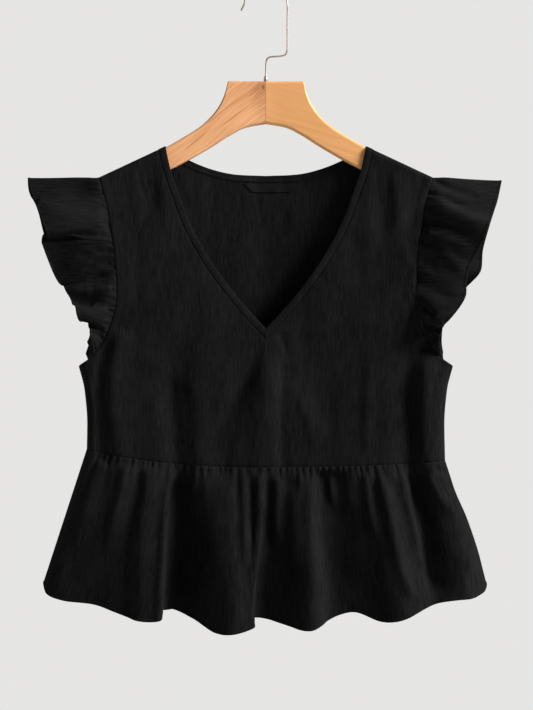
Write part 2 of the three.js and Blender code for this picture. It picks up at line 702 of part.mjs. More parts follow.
const { front, back } = bodiceSides;
const peplumTop = new THREE.Group();
peplumTop.add(
  named("front_bodice", bodicePanel(front), cloth),
  named("back_bodice", bodicePanel(back), cloth),
  named("front_peplum", peplumPanel(front, frontHem), cloth),
  named("back_peplum", peplumPanel(back, backHem), cloth),
  named("left_sleeve_ruffle", sleeveRuffle(-1, leftRuffleFront, leftRuffleBack), cloth),
  named("right_sleeve_ruffle", sleeveRuffle(1, rightRuffleFront, rightRuffleBack), cloth),
  named("left_neck_band", neckBand(front, [-1]), cloth),
  named("right_neck_band", neckBand(front, [1]), cloth),
  named("back_neck_band", neckBand(back, [-1, 1]), cloth),
  named("neck_label", neckLabel(), satin),
  named("left_hanger_arm", hangerArm(-1), palePlywood),
  named("right_hanger_arm", hangerArm(1), palePlywood),
  named("hanger_hook", hookWire(), wire),
  named("hook_collar", hookCollar(), wire),
);

export default peplumTop;
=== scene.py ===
"""Looks of a V-neck peplum top with gathered ruffle sleeves, hung on a wooden hanger with a wire hook."""

import sys

import logging
import math
from dataclasses import dataclass, field
from enum import Enum
from typing import Callable

import bmesh
import bpy
import numpy as np
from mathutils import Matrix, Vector

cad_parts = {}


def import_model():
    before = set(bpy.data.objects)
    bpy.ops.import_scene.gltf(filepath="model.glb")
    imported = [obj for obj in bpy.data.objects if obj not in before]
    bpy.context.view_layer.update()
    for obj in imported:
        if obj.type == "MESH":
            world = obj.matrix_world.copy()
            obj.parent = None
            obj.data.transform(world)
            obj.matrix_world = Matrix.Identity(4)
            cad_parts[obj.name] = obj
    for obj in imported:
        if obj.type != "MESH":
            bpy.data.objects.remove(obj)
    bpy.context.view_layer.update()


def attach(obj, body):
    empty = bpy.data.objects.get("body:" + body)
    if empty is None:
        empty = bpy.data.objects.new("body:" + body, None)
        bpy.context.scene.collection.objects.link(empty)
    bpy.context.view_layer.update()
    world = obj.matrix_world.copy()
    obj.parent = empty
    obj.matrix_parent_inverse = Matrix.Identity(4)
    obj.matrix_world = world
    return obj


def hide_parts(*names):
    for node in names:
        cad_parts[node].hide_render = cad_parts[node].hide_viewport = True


LOG = logging.getLogger("peplum_top")
MM = 0.001  # the tables are in millimetres, and the scene is in metres
PARTING = -0.1  # between the front and the back along the shoulders and the sides, where they are sewn
LAP = 0.12  # how far sewn edges reach into each other
CLOTH = 0.7  # thickness of one layer of the cloth
BAND_WIDTH = 8.0  # of the folded bands around the neckline
FAR = 99.0  # a distance at which a seam no longer shapes the cloth
SHARP_FOLD = 65.0  # degrees by which a fold has to turn to show as an edge

# Half the bodice's outline, as x and z: an armhole from the shoulder tip down, and the necklines
# from the middle
ARMHOLE = (
    (200, -235.4), (192, -263), (183.5, -311), (178.5, -364),
    (180.5, -392), (194, -430), (209, -450), (224.5, -461),
)
FRONT_NECK = (
    (0, -416), (26.6, -387), (52, -355), (72.6, -324),
    (91.8, -287), (104.8, -252), (114.4, -224), (120.3, -197.4),
)
BACK_NECK = ((0, -231.4), (41.4, -229.3), (69, -222.6), (92.4, -213), (120.3, -197.4))

# Height, and half the bodice's width there
SIDE = ((-461, 224.5), (-490, 217.6), (-530, 214.5), (-582, 215.5))

# Height, and how far the front and the back stand from the garment's middle there
STAND = (
    (-582, 17, 12), (-520, 17, 12), (-430, 16, 11.5), (-340, 13, 10), (-260, 9, 8.2), (-197, 7.8, 7.8),
)

# The hem of a peplum panel: the place at the waist where a fold starts, and x, y and z where it
# reaches the hem
FRONT_HEM = (
    (-215.4, -267.9, -3, -722.9), (-208, -261.5, -17, -734.4), (-194, -242.8, -25, -740.9),
    (-170, -203.7, -28, -745.8), (-130, -149.2, -42, -763.3), (-112, -126.8, -47, -762.7),
    (-108.5, -123.6, -40, -757), (-106, -127.6, -29, -752), (-103, -122, -20.5, -751.6),
    (-98, -111.7, -18.5, -752.7), (-84, -88.7, -22, -761.8), (-60, -57.3, -41, -777.8),
    (-38, -35.5, -47, -778), (-5, -10.9, -44, -769), (1, -12.6, -33, -762.4), (5, -8, -22, -762.4),
    (11, 4, -19.5, -764.5), (28, 28.8, -27, -771.5), (52, 54, -43, -775.1), (61, 66, -37, -769.5),
    (69, 75, -24, -764.6), (81, 89.5, -21, -758.2), (94, 106.8, -23.5, -755.1), (116, 136.8, -33.5, -765.2),
    (130, 153.2, -41, -764.7), (139, 165, -43, -761.8), (168, 202, -27.5, -745), (192, 227.3, -32, -740.1),
    (206, 242, -31.5, -738.8), (215.4, 250.7, -19, -738.2),
)
BACK_HEM = (
    (-215.4, -267.9, -3.1, -722.9), (-206, -260.3, 11, -730.5), (-180, -225.1, 24, -745.1),
    (-146, -177.8, 14, -748), (-108, -132.1, 30, -759), (-72, -89, 16, -753.3),
    (-36, -44.7, 31, -764.2), (0, 0, 17, -756.4), (34, 42.7, 32, -765.3),
    (72, 88.9, 16, -753.3), (110, 134.1, 29, -758.9), (148, 179.8, 14, -748),
    (182, 228.9, 22, -742.8), (203, 259.4, 12, -730.6), (211, 266.6, 0, -723.4),
    (213.6, 263.2, -9, -731.4), (215.4, 250.7, -19.1, -738.2),
)

# The free edge of a sleeve ruffle: its share of the armhole from the shoulder tip down, and x, y and
# z there
LEFT_RUFFLE_FRONT = (
    (0, -285.1, -16, -236.3), (0.06, -282.2, -25, -249.2), (0.15, -274, -36, -267),
    (0.26, -263.4, -42.5, -295.1), (0.31, -257.5, -38, -307.6), (0.33, -262.7, -34.5, -302),
    (0.36, -266.9, -30, -309.8), (0.47, -258.2, -29, -339), (0.57, -245.4, -31, -364.9),
    (0.64, -231.4, -26, -385.4), (0.7, -225.7, -38, -396.5), (0.75, -220.9, -36, -406.4),
    (0.79, -212.7, -28, -409.2), (0.87, -209.4, -31, -424.2), (0.94, -211.2, -22, -437),
)
LEFT_RUFFLE_BACK = (
    (0, -286.6, -16, -236.3), (0.1, -284.9, -4, -251.4), (0.22, -277.5, 12, -268.4),
    (0.33, -269.8, 15, -298.5), (0.42, -263.9, 7, -317.1), (0.53, -249, 16, -346.9),
    (0.62, -235, 14, -370), (0.7, -223, 6, -390), (0.8, -211, 11, -411),
    (0.88, -212, 5, -428), (0.95, -217.3, 3, -446),
)
RIGHT_RUFFLE_FRONT = (
    (0, 282.6, -16, -239.3), (0.05, 279.4, -24, -250.1), (0.14, 271.1, -36, -275.9),
    (0.24, 262.6, -43, -299.9), (0.34, 254.4, -38, -319.3), (0.42, 243.9, -34, -340.9),
    (0.5, 238.7, -37, -360.8), (0.58, 237, -44, -377.9), (0.66, 227, -46, -394.7),
    (0.71, 212.7, -40, -409.4), (0.735, 212.5, -30, -407.3), (0.8, 210.7, -28, -416.2),
    (0.88, 206.5, -31, -430.1), (0.94, 208.1, -23, -441),
)
RIGHT_RUFFLE_BACK = (
    (0, 282.6, -16, -239.3), (0.11, 279, -3, -261.4), (0.24, 270.5, 12, -292.6),
    (0.34, 263, 13, -320.8), (0.43, 259.3, 6, -347.3), (0.53, 243, 15, -366),
    (0.62, 229, 14, -383), (0.7, 219, 6, -398), (0.79, 214, 10, -414),
    (0.87, 212, 5, -427), (0.95, 213, 2, -444),
)

Points = np.ndarray


def smoothstep(value: Points, low: float, high: float) -> Points:
    """Return 0 below low and 1 above high, with a smooth rise between them."""
    share = np.clip((value - low) / (high - low), 0, 1)
    return share * share * (3 - 2 * share)


def mixed(start: Points, end: Points, share: Points) -> Points:
    """Return the value at a share of the way from start to end."""
    return start + (end - start) * share


def turned(distance: Points, reach: float) -> Points:
    """Return 0 at a folded-over edge, and 1 once the cloth has turned away from it."""
    left = 1 - np.clip(distance / reach, 0, 1)
    return np.sqrt(np.maximum(0, 1 - left * left))


def unit(vectors: Points) -> Points:
    """Return vectors with their length made 1."""
    return vectors / np.maximum(np.linalg.norm(vectors, axis=-1, keepdims=True), 1e-12)


def run_along(line: Points) -> Points:
    """Return how far along a line each of its points lies."""
    return np.concatenate([[0], np.cumsum(np.linalg.norm(np.diff(line, axis=0), axis=1))])


def read_along(values: Points, run: Points, place: Points) -> Points:
    """Return values that are known at distances along a line, read at other places along it."""
    return np.stack([np.interp(place, run, column) for column in values.T], axis=-1)


class SmoothTable:
    """The columns of a table as smooth functions of its first column, with no overshoot between rows."""

    def __init__(self, rows: tuple) -> None:
        """Sort the rows by their first column, and work out the slope at each.

        Args:
            rows: the table, one row of numbers for each key.
        """
        table = np.asarray(rows, float)
        table = table[np.argsort(table[:, 0])]
        self.keys, self.values = table[:, 0], table[:, 1:]
        steep = np.diff(self.values, axis=0) / np.diff(self.keys)[:, None]
        same = steep[:-1] * steep[1:] > 0
        total = np.where(same, steep[:-1] + steep[1:], 1)
        between = np.where(same, 2 * steep[:-1] * steep[1:] / total, 0)
        self.slopes = np.vstack([steep[:1], between, steep[-1:]])

    def at(self, key: Points, column: int = 0) -> Points:
        """Read one column of the table.

        Args:
            key: where to read, as values of the first column.
            column: which of the other columns.

        Returns:
            The column's value at each key.
        """
        key = np.asarray(key, float)
        k = np.clip(np.searchsorted(self.keys, key) - 1, 0, len(self.keys) - 2)
        span = self.keys[k + 1] - self.keys[k]
        t = np.clip((key - self.keys[k]) / span, 0, 1)
        return (
            (2 * t**3 - 3 * t**2 + 1) * self.values[k, column]
            + (t**3 - 2 * t**2 + t) * span * self.slopes[k, column]
            + (3 * t**2 - 2 * t**3) * self.values[k + 1, column]
            + (t**3 - t**2) * span * self.slopes[k + 1, column]
        )


class SmoothPath:
    """A smooth curve through points, read by its share of the length."""

    def __init__(self, points: tuple, steps: int = 24) -> None:
        """Run a centripetal curve through the points.

        Args:
            points: rows of coordinates, in order.
            steps: how many pieces each span is cut into.
        """
        p = np.asarray(points, float)
        held = np.vstack([2 * p[0] - p[1], p, 2 * p[-1] - p[-2]])
        gaps = np.sqrt(np.linalg.norm(np.diff(held, axis=0), axis=1))
        t = np.linspace(0, 1, steps, endpoint=False)[:, None]
        spans = []
        for k in range(len(p) - 1):
            (a, b, c, d), (g0, g1, g2) = held[k : k + 4], gaps[k : k + 3]
            leave = ((b - a) / g0 - (c - a) / (g0 + g1) + (c - b) / g1) * g1
            arrive = ((c - b) / g1 - (d - b) / (g1 + g2) + (d - c) / g2) * g1
            bend = (3 * (c - b) - 2 * leave - arrive) * t**2 + (2 * (b - c) + leave + arrive) * t**3
            spans.append(b + leave * t + bend)
        self.points = np.vstack([*spans, p[-1:]])
        self.run = run_along(self.points)
        self.length = float(self.run[-1])

    def at(self, share: Points) -> Points:
        """Return the points at shares of the curve's length."""
        return self.carried(self.points, share)

    def carried(self, values: Points, share: Points) -> Points:
        """Return values that run along with the curve's own points, at shares of its length."""
        return read_along(values, self.run, np.asarray(share, float) * self.length)


class Unevenness:
    """Smooth seeded noise over a plane, from -1 to 1."""

    cells = 97  # along each side of the lattice, after which the noise repeats

    def __init__(self, seed: int, wide: float, high: float) -> None:
        """Fill a lattice with random values.

        Args:
            seed: fixes the values.
            wide: spacing of the lattice across, in mm.
            high: spacing of the lattice up and down, in mm.
        """
        self.values = np.random.default_rng(seed).uniform(-1, 1, (self.cells, self.cells))
        self.wide, self.high = wide, high

    def at(self, x: Points, z: Points) -> Points:
        """Read the noise.

        Args:
            x: places across, in mm.
            z: places up and down, in mm.

        Returns:
            The noise at each place.
        """
        u, v = x / self.wide, z / self.high
        i, j = np.floor(u).astype(int), np.floor(v).astype(int)
        s, t = smoothstep(u - i, 0, 1), smoothstep(v - j, 0, 1)

        def value(di: int, dj: int) -> Points:
            """Return the lattice value at a corner of each place's cell."""
            return self.values[(i + di) % self.cells, (j + dj) % self.cells]

        return mixed(mixed(value(0, 0), value(1, 0), s), mixed(value(0, 1), value(1, 1), s), t)


@dataclass(frozen=True)
class Crease:
    """A fold placed along a path in the plane of the photograph.

    Args:
        path: points (x, z) in mm, from the fold's root on.
        forward: how far it stands out of the cloth, in mm, or into it where negative.
        low: how far it spreads to the left of a path that runs down, or below one that runs right, in mm.
        high: how far it spreads on the other side, in mm.
        grow: share of the path over which it rises.
        fade: share of the path over which it dies away, or 0 where it runs on to its end.
    """

    path: tuple
    forward: float
    low: float
    high: float
    grow: float = 0.15
    fade: float = 0.4

    def relief(self, x: Points, z: Points) -> Points:
        """Work out how far the crease moves the cloth outwards.

        Args:
            x: places across, in mm.
            z: heights, in mm.

        Returns:
            How far each place moves, in mm.
        """
        path = SmoothPath(self.path, 4).points
        lengths = np.linalg.norm(np.diff(path, axis=0), axis=1)
        run = run_along(path)
        nearest = np.full(x.shape, np.inf)
        side, along = np.zeros(x.shape), np.zeros(x.shape)
        for k, (dx, dz) in enumerate(np.diff(path, axis=0)):
            qx, qz = x - path[k, 0], z - path[k, 1]
            t = np.clip((qx * dx + qz * dz) / lengths[k] ** 2, 0, 1)
            distance = np.hypot(qx - t * dx, qz - t * dz)
            closer = distance < nearest
            nearest = np.where(closer, distance, nearest)
            side = np.where(closer, dx * qz - dz * qx, side)
            along = np.where(closer, (run[k] + t * lengths[k]) / run[-1], along)
        spread = np.where(side > 0, self.high, self.low)
        lasting = smoothstep(along, 0, self.grow)
        if self.fade:
            lasting = lasting * (1 - smoothstep(along, 1 - self.fade, 1))
        return self.forward * lasting * np.exp(-((nearest / spread) ** 2))


def relief_of(creases: tuple[Crease, ...], x: Points, z: Points) -> Points:
    """Return the sum of the creases at each place, in mm."""
    return sum((crease.relief(x, z) for crease in creases), np.zeros(x.shape))


FRONT_BODICE_CREASES = (
    Crease(((2, -436), (-47, -596)), -2.4, 15, 15, 0.35, 0.0),
    Crease(((4, -436), (2, -600)), 2.4, 17, 17, 0.35, 0.0),
    Crease(((-104, -410), (-93, -600)), -3, 20, 20, 0.35, 0.0),
    Crease(((-172, -420), (-188, -600)), -3, 15, 15, 0.35, 0.0),
    Crease(((56, -430), (79, -600)), -2.5, 20, 20, 0.35, 0.0),
    Crease(((168, -425), (182, -600)), -4.5, 13, 13, 0.35, 0.0),
    Crease(
        ((2.6, -420), (0, -454), (-5, -478), (-17, -502), (-25, -526), (-31, -550), (-41, -600)),
        4.5, 11, 22, 0.28, 0.0,
    ),
    Crease(((-5, -434), (-19, -472), (-36, -502), (-53, -532), (-69, -575)), -2.3, 9, 8, 0.35, 0.2),
    Crease(((18, -446), (19, -500), (18, -590)), -2.0, 5, 8, 0.15, 0.0),
    Crease(((17, -420), (22, -440), (30, -462)), -1.6, 4, 6, 0.1, 0.6),
    Crease(((38, -490), (50, -522), (62, -560)), 1.8, 7, 10, 0.3, 0.4),
    Crease(((-118, -425), (-113, -502), (-109, -538), (-105, -600)), -4.2, 13, 9, 0.5, 0.0),
    Crease(((-93, -425), (-86, -502), (-83, -538), (-80, -600)), 3.6, 10, 18, 0.5, 0.0),
    Crease(((-172, -414), (-180, -450), (-181, -514), (-174, -590)), 5.2, 10, 14, 0.08, 0.0),
    Crease(((-184, -430), (-198, -470), (-200, -520), (-198, -590)), -3.0, 7, 8, 0.12, 0.0),
    Crease(((171, -446), (168, -514), (170, -600)), -3.0, 14, 8, 0.35, 0.0),
    Crease(((196, -436), (189, -490), (188, -526), (191, -600)), 6.4, 12, 17, 0.2, 0.0),
    Crease(((-6, -440), (-8, -600)), 3.4, 14, 34, 0.35, 0.0),
    Crease(((127, -430), (123, -502), (119, -570)), 2.4, 8, 16, 0.3, 0.2),
    Crease(((-150, -212), (-143, -240), (-131, -300)), -2.6, 8, 11, 0.2, 0.6),
    Crease(((-129, -226), (-121, -262), (-117, -320)), 1.6, 8, 12, 0.2, 0.6),
    Crease(((137, -212), (142, -250), (136, -340)), -2.4, 8, 9, 0.2, 0.5),
    Crease(((152, -226), (158, -270), (158, -330)), 2.2, 8, 14, 0.2, 0.5),
    Crease(((165, -300), (168, -360)), 1.4, 10, 8, 0.4, 0.5),
    Crease(((202, -428), (178, -443), (146, -450)), -5.6, 24, 8, 0.1, 0.6),
    Crease(((-150, -452), (-60, -500)), 1.3, 9, 14, 0.4, 0.6),
    Crease(((190, -455), (120, -500)), 1.4, 8, 14, 0.4, 0.6),
    Crease(((-58, -350), (-66, -400), (-66, -450)), 1.8, 14, 16, 0.3, 0.5),
    Crease(((64, -350), (70, -410), (72, -470)), 1.8, 16, 14, 0.3, 0.5),
    Crease(((100, -290), (110, -340), (112, -400)), -1.4, 10, 12, 0.3, 0.5),
)
BACK_BODICE_CREASES = (
    Crease(((-70, -330), (-92, -600)), 3, 26, 26, 0.35, 0.0),
    Crease(((60, -330), (99, -600)), 3, 26, 26, 0.35, 0.0),
    Crease(((0, -420), (7, -600)), -2.5, 22, 22, 0.35, 0.0),
    Crease(((-120, -250), (-96, -330), (-90, -400)), -1.5, 10, 14, 0.2, 0.6),
    Crease(((128, -250), (104, -340), (99, -400)), -1.5, 14, 10, 0.2, 0.6),
    Crease(((176, -440), (150, -520), (143, -578)), -2.4, 10, 14, 0.3, 0.2),
    Crease(((-180, -436), (-160, -520), (-150, -578)), -2.4, 14, 10, 0.3, 0.2),
    Crease(((-30, -480), (-38, -576)), 1.4, 7, 9, 0.4, 0.2),
    Crease(((46, -500), (50, -576)), -1.4, 8, 7, 0.4, 0.2),
)
FRONT_PEPLUM_CREASES = (
    Crease(((-195, -572), (-206, -598), (-212, -622), (-220, -646), (-230, -700)), 5.2, 5.5, 14, 0.06, 0.5),
    Crease(((-169, -578), (-172, -610), (-179, -634), (-192, -696)), 5.2, 5.5, 17, 0.06, 0.5),
    Crease(((-141, -578), (-141, -610), (-147, -646), (-149, -694), (-152, -785)), 6.5, 8, 15, 0.06, 0.0),
    Crease(
        ((-110, -584), (-118, -610), (-120.5, -646), (-123, -694), (-125, -730), (-127, -785)),
        2.6, 5, 2.6, 0.1, 0.0,
    ),
    Crease(
        ((-101, -584), (-108, -610), (-111, -646), (-113, -694), (-115, -735), (-118, -785)),
        -7.5, 4, 17, 0.1, 0.0,
    ),
    Crease(((-83, -588), (-86, -606), (-89, -624)), 1.8, 4, 3, 0.1, 0.6),
    Crease(((-71, -588), (-72, -612), (-74, -632)), 1.4, 4, 4, 0.1, 0.6),
    Crease(
        ((-52, -586), (-47, -622), (-45, -658), (-41, -700), (-38, -740), (-38, -790)),
        5.8, 25, 13, 0.1, 0.0,
    ),
    Crease(((-27, -586), (-26, -622), (-25, -658), (-24, -710)), 3.0, 5, 6, 0.1, 0.3),
    Crease(((-17, -588), (-16.5, -622), (-17, -660), (-17, -712)), -1.5, 4, 4, 0.08, 0.5),
    Crease(((-10, -586), (-8, -622), (-9, -658), (-12, -716)), 4.2, 5.5, 8, 0.1, 0.5),
    Crease(((3, -588), (2, -622), (-1, -658), (-5, -694), (-9, -740), (-9, -790)), -6.4, 3.5, 13, 0.08, 0.0),
    Crease(((14.6, -592), (12.2, -634), (12.2, -658), (15, -686)), 4.0, 6, 7, 0.1, 0.4),
    Crease(((26, -592), (26, -640), (30, -690)), -1.2, 5, 8, 0.1, 0.4),
    Crease(((33, -600), (34, -650), (40, -720), (44, -785)), 3.4, 13, 12, 0.1, 0.0),
    Crease(((40, -588), (41, -604), (38, -618)), 1.8, 4, 4, 0.1, 0.6),
    Crease(((52, -588), (53, -622), (54, -670), (58, -706), (63, -754), (66, -785)), 1.8, 9, 7, 0.1, 0.0),
    Crease(((68, -584), (67, -634), (70, -670), (76, -706), (80, -742)), -7.4, 8, 26, 0.05, 0.3),
    Crease(((74.6, -588), (78, -610), (84, -636)), 3.4, 4, 5, 0.08, 0.5),
    Crease(((98.6, -586), (99, -610), (101, -642)), 1.8, 4, 8, 0.08, 0.5),
    Crease(((118, -588), (122.6, -622), (127.4, -646), (132, -674)), 3.0, 6, 4.5, 0.08, 0.4),
    Crease(
        ((135.8, -588), (140.6, -610), (146.6, -634), (153.8, -670), (162.2, -706), (174, -742)),
        4.2, 6, 6, 0.08, 0.1,
    ),
    Crease(((160, -588), (167, -616), (174, -640), (180, -670), (190, -712)), 3.8, 6.5, 10, 0.08, 0.4),
    Crease(
        ((172, -584), (178, -616), (183, -646), (189, -672), (194, -700), (200, -742)),
        -6.5, 5, 15, 0.08, 0.2,
    ),
    Crease(((192, -590), (204, -612), (223, -636), (236, -654)), 2.8, 7, 6, 0.1, 0.4),
    Crease(((200, -582), (216, -590), (226, -600)), -2.6, 4, 4, 0.1, 0.4),
    Crease(((222, -630), (232, -664), (240, -694), (246, -724)), 4.5, 36, 8, 0.3, 0.4),
    Crease(((-214, -640), (-226, -690), (-238, -730)), -1.6, 10, 12, 0.4, 0.2),
    Crease(((-176, -690), (-184, -748)), 1.5, 9, 12, 0.4, 0.0),
    Crease(((-150, -690), (-156, -752)), -1.4, 7, 9, 0.4, 0.0),
)
BACK_PEPLUM_CREASES = (
    Crease(((-196, -580), (-206, -640), (-216, -700)), -2.4, 7, 8, 0.1, 0.5),
    Crease(((-178, -590), (-198, -660), (-230, -760)), 3, 4, 9, 0.15, 0.0),
    Crease(((-146, -590), (-162, -670), (-176, -745)), -3.2, 9, 6, 0.15, 0.1),
    Crease(((-108, -590), (-118, -660), (-134, -780)), 3.2, 9, 4, 0.15, 0.0),
    Crease(((-92, -590), (-100, -650), (-104, -700)), -3, 4, 8, 0.1, 0.4),
    Crease(((-62, -590), (-66, -628), (-72, -660)), 1.8, 5, 4, 0.1, 0.5),
    Crease(((-36, -590), (-39, -670), (-45, -785)), 3.2, 4, 9, 0.15, 0.0),
    Crease(((-14, -590), (-10, -640), (-8, -690)), -2.6, 6, 5, 0.1, 0.4),
    Crease(((8, -590), (10, -630), (13, -655)), 1.8, 5, 4, 0.1, 0.5),
    Crease(((34, -590), (37, -660), (44, -785)), 3.4, 9, 4, 0.15, 0.0),
    Crease(((50, -590), (54, -650), (58, -740)), -3.4, 5, 8, 0.15, 0.2),
    Crease(((84, -588), (90, -630), (97, -668)), 2, 6, 4, 0.1, 0.5),
    Crease(((110, -590), (121, -670), (137, -780)), 3, 8, 4, 0.15, 0.0),
    Crease(((124, -590), (138, -660), (152, -745)), -3, 5, 9, 0.15, 0.2),
    Crease(((160, -586), (172, -630), (184, -670)), 2, 6, 5, 0.1, 0.5),
    Crease(((182, -586), (204, -660), (234, -760)), 3, 8, 4, 0.15, 0.0),
    Crease(((204, -580), (226, -640), (240, -690)), -2.4, 6, 7, 0.1, 0.4),
)
LEFT_RUFFLE_CREASES = (
    Crease(((-272, -266), (-252, -275), (-228, -282), (-199, -284), (-186, -284)), 3.6, 14, 7, 0.02, 0.2),
    Crease(((-188, -250), (-205, -255), (-222, -259), (-246, -256)), -3.0, 10, 5, 0.1, 0.4),
    Crease(((-180, -247), (-193, -252), (-208, -259), (-226, -262)), -1.6, 2.2, 6, 0.1, 0.5),
    Crease(((-186, -291), (-196, -299), (-199, -308)), -1.8, 3, 3, 0.1, 0.4),
    Crease(((-274, -301), (-244, -300), (-222, -298), (-201, -300), (-186, -297)), 3.6, 4, 20, 0.02, 0.1),
    Crease(((-278, -315), (-243, -315), (-222, -312), (-200, -311), (-174, -310)), 7.6, 32, 4.0, 0.05, 0.5),
    Crease(((-264, -306), (-252, -340), (-238, -376)), -10.0, 20, 46, 0.25, 0.15),
    Crease(((-240, -345), (-230, -338), (-220, -326)), 1.6, 8, 8, 0.3, 0.4),
    Crease(((-182, -353), (-200, -354), (-212, -361), (-232, -372)), -4.6, 4, 11, 0.3, 0.5),
    Crease(((-184, -368), (-196, -371), (-206, -377)), 2.2, 5, 4, 0.1, 0.5),
    Crease(((-201, -236), (-195, -264)), 4.5, 14, 3, 0.02, 0.4),
    Crease(((-184, -337), (-198, -335), (-214, -345), (-219, -356)), -2.0, 3, 4, 0.1, 0.4),
    Crease(((-184, -324), (-196, -325), (-210, -322)), -1.8, 3, 3, 0.1, 0.5),
    Crease(
        ((-270, -372), (-243, -381), (-226, -384), (-212, -389), (-204, -384), (-190, -386)),
        -6.4, 3.5, 22, 0.03, 0.25,
    ),
    Crease(((-238, -392), (-218, -397), (-198, -395), (-188, -396)), 3.6, 10, 5, 0.05, 0.1),
    Crease(((-222, -409), (-206, -414), (-192, -420)), -2.6, 3, 4, 0.1, 0.2),
    Crease(((-210, -420), (-200, -424), (-194, -430)), -2.2, 3, 3, 0.1, 0.2),
    Crease(((-213, -430), (-206, -434)), 2.0, 4, 4, 0.1, 0.2),
)
RIGHT_RUFFLE_CREASES = (
    Crease(((190, -230), (203, -240), (216, -248), (234, -253), (258, -255)), -2.4, 5, 5, 0.2, 0.4),
    Crease(((200, -252), (214, -254), (232, -262), (254, -268)), 1.0, 6, 5, 0.1, 0.4),
    Crease(((190, -256), (209, -260), (221, -266), (234, -271), (248, -277)), -1.1, 2.4, 4, 0.1, 0.4),
    Crease(
        ((190, -256), (206, -266), (221, -277), (236, -284), (254, -291), (272, -297)),
        6.2, 16, 7.5, 0.35, 0.0,
    ),
    Crease(((174, -291), (200, -292), (215, -295), (232, -300), (246, -310)), -4.2, 8, 8, 0.05, 0.3),
    Crease(((190, -300), (210, -308), (236, -318), (248, -328)), 3.2, 12, 7, 0.1, 0.3),
    Crease(((184, -316), (196, -322), (202, -332)), -1.6, 5, 7, 0.1, 0.6),
    Crease(((184, -336), (196, -341), (208, -354)), -1.8, 5, 7, 0.1, 0.6),
    Crease(((206, -320), (222, -334), (238, -352)), 2.4, 8, 7, 0.2, 0.3),
    Crease(((164, -352), (184, -362), (198, -369), (214, -375), (236, -380)), -5.0, 9, 15, 0.05, 0.5),
    Crease(((180, -390), (196, -398), (210, -404), (238, -398)), 5.0, 5, 15, 0.35, 0.6),
    Crease(((189, -390), (196, -398), (204, -403)), -4.6, 3.5, 4, 0.1, 0.2),
    Crease(((178, -393), (190, -397), (199, -406), (212, -410)), 3.2, 2.5, 4, 0.1, 0.05),
    Crease(((186, -404), (202, -416), (214, -424)), -3.4, 6, 4, 0.1, 0.3),
    Crease(((200, -434), (206, -440), (210, -446)), 2.0, 4, 4, 0.1, 0.1),
)
HIDDEN_RUFFLE_CREASES = (
    Crease(((196, -248), (222, -256), (256, -262)), -2.4, 5, 4, 0.1, 0.3),
    Crease(((192, -268), (224, -282), (262, -296)), 2.6, 4, 8, 0.15, 0.2),
    Crease(((188, -290), (216, -302), (244, -312)), -2.8, 8, 4, 0.1, 0.3),
    Crease(((184, -312), (204, -322)), -1.8, 4, 4, 0.1, 0.5),
    Crease(((180, -336), (208, -352), (242, -364)), 2.4, 4, 8, 0.15, 0.2),
    Crease(((179, -360), (200, -374), (218, -384)), -2.6, 6, 4, 0.1, 0.3),
    Crease(((182, -388), (196, -400)), -1.8, 4, 4, 0.1, 0.5),
    Crease(((188, -408), (204, -420)), 1.6, 3, 5, 0.1, 0.4),
)

# The front's gathers: place along the waist seam, length down, and height, which is negative for a slot
FRONT_GATHERS = (
    (-211, 9, -1.3), (-205, 14, -1.4), (-198, 12, -1.5), (-193, 10, 1.3), (-189, 9, -1.2), (-183, 7, -1.3),
    (-179, 12, 1.9), (-174, 26, -2.7), (-169, 16, 2.1), (-165, 8, -1.2), (-162, 10, 1.5), (-158, 9, -1.3),
    (-147, 30, -2.2), (-143, 18, 1.6), (-138, 8, -1.2), (-132, 12, 1.9), (-123, 12, -1.9), (-120, 12, 1.8),
    (-115, 7, -1.5), (-110, 8, 1.2), (-103, 18, -1.8), (-95, 20, -2.2), (-89, 10, 1.7), (-84, 14, -2.0),
    (-79, 9, 1.7), (-74, 12, -1.3), (-68, 10, 1.6), (-63, 10, -1.6), (-59, 9, 1.5), (-53, 26, -2.0),
    (-47, 14, 1.7), (-39, 10, -1.2), (-36, 9, 1.7), (-33, 8, -1.6), (-27, 7, -1.4), (-23, 18, 1.8),
    (-17, 24, -2.7), (-12, 10, 1.6), (-7, 9, -1.7), (-1, 14, 2.0), (7, 22, -2.2), (13, 14, 1.7),
    (18, 10, -1.6), (23, 10, 1.5), (28, 12, -1.4), (33, 18, -1.8), (37, 10, 1.7), (42, 9, -1.2),
    (45, 8, 1.1), (47, 8, -1.5), (52, 10, -1.4), (57, 16, 1.9), (61, 7, -1.3), (65, 10, 1.4),
    (70, 24, -2.8), (76, 10, -1.3), (81, 14, 1.7), (85, 12, -1.4), (89, 8, 1.5), (93, 30, -2.3),
    (101, 10, -1.4), (106, 9, 1.6), (109, 14, -1.6), (115, 9, -1.5), (120, 14, 2.0), (126, 8, 1.1),
    (130, 22, -1.7), (136, 8, -1.2), (141, 16, 2.1), (147, 20, -2.2), (151, 9, 1.3), (156, 12, -1.5),
    (165, 14, 1.5), (173, 30, -2.5), (180, 8, 1.1), (189, 9, -1.6), (193, 12, 1.9), (198, 12, -2.0),
    (202, 9, 1.6), (204, 7, -1.6),
)


class Facing(Enum):
    """Which way a panel of the garment faces."""

    FRONT = -1
    BACK = 1


class Hand(Enum):
    """A side of the garment, as its front is seen."""

    LEFT = -1
    RIGHT = 1


@dataclass(frozen=True)
class Side:
    """The front or the back of the bodice.

    Args:
        facing: which way it faces.
        neck: its half neckline, from the middle to the shoulder.
        creases: its folds.
        column: its column in the table of depths.
        neck_run: how far down the armhole its rows still end on the neckline, in mm.
        seed: fixes its small unevenness.
    """

    facing: Facing
    neck: tuple
    creases: tuple[Crease, ...]
    column: int
    neck_run: float
    seed: int


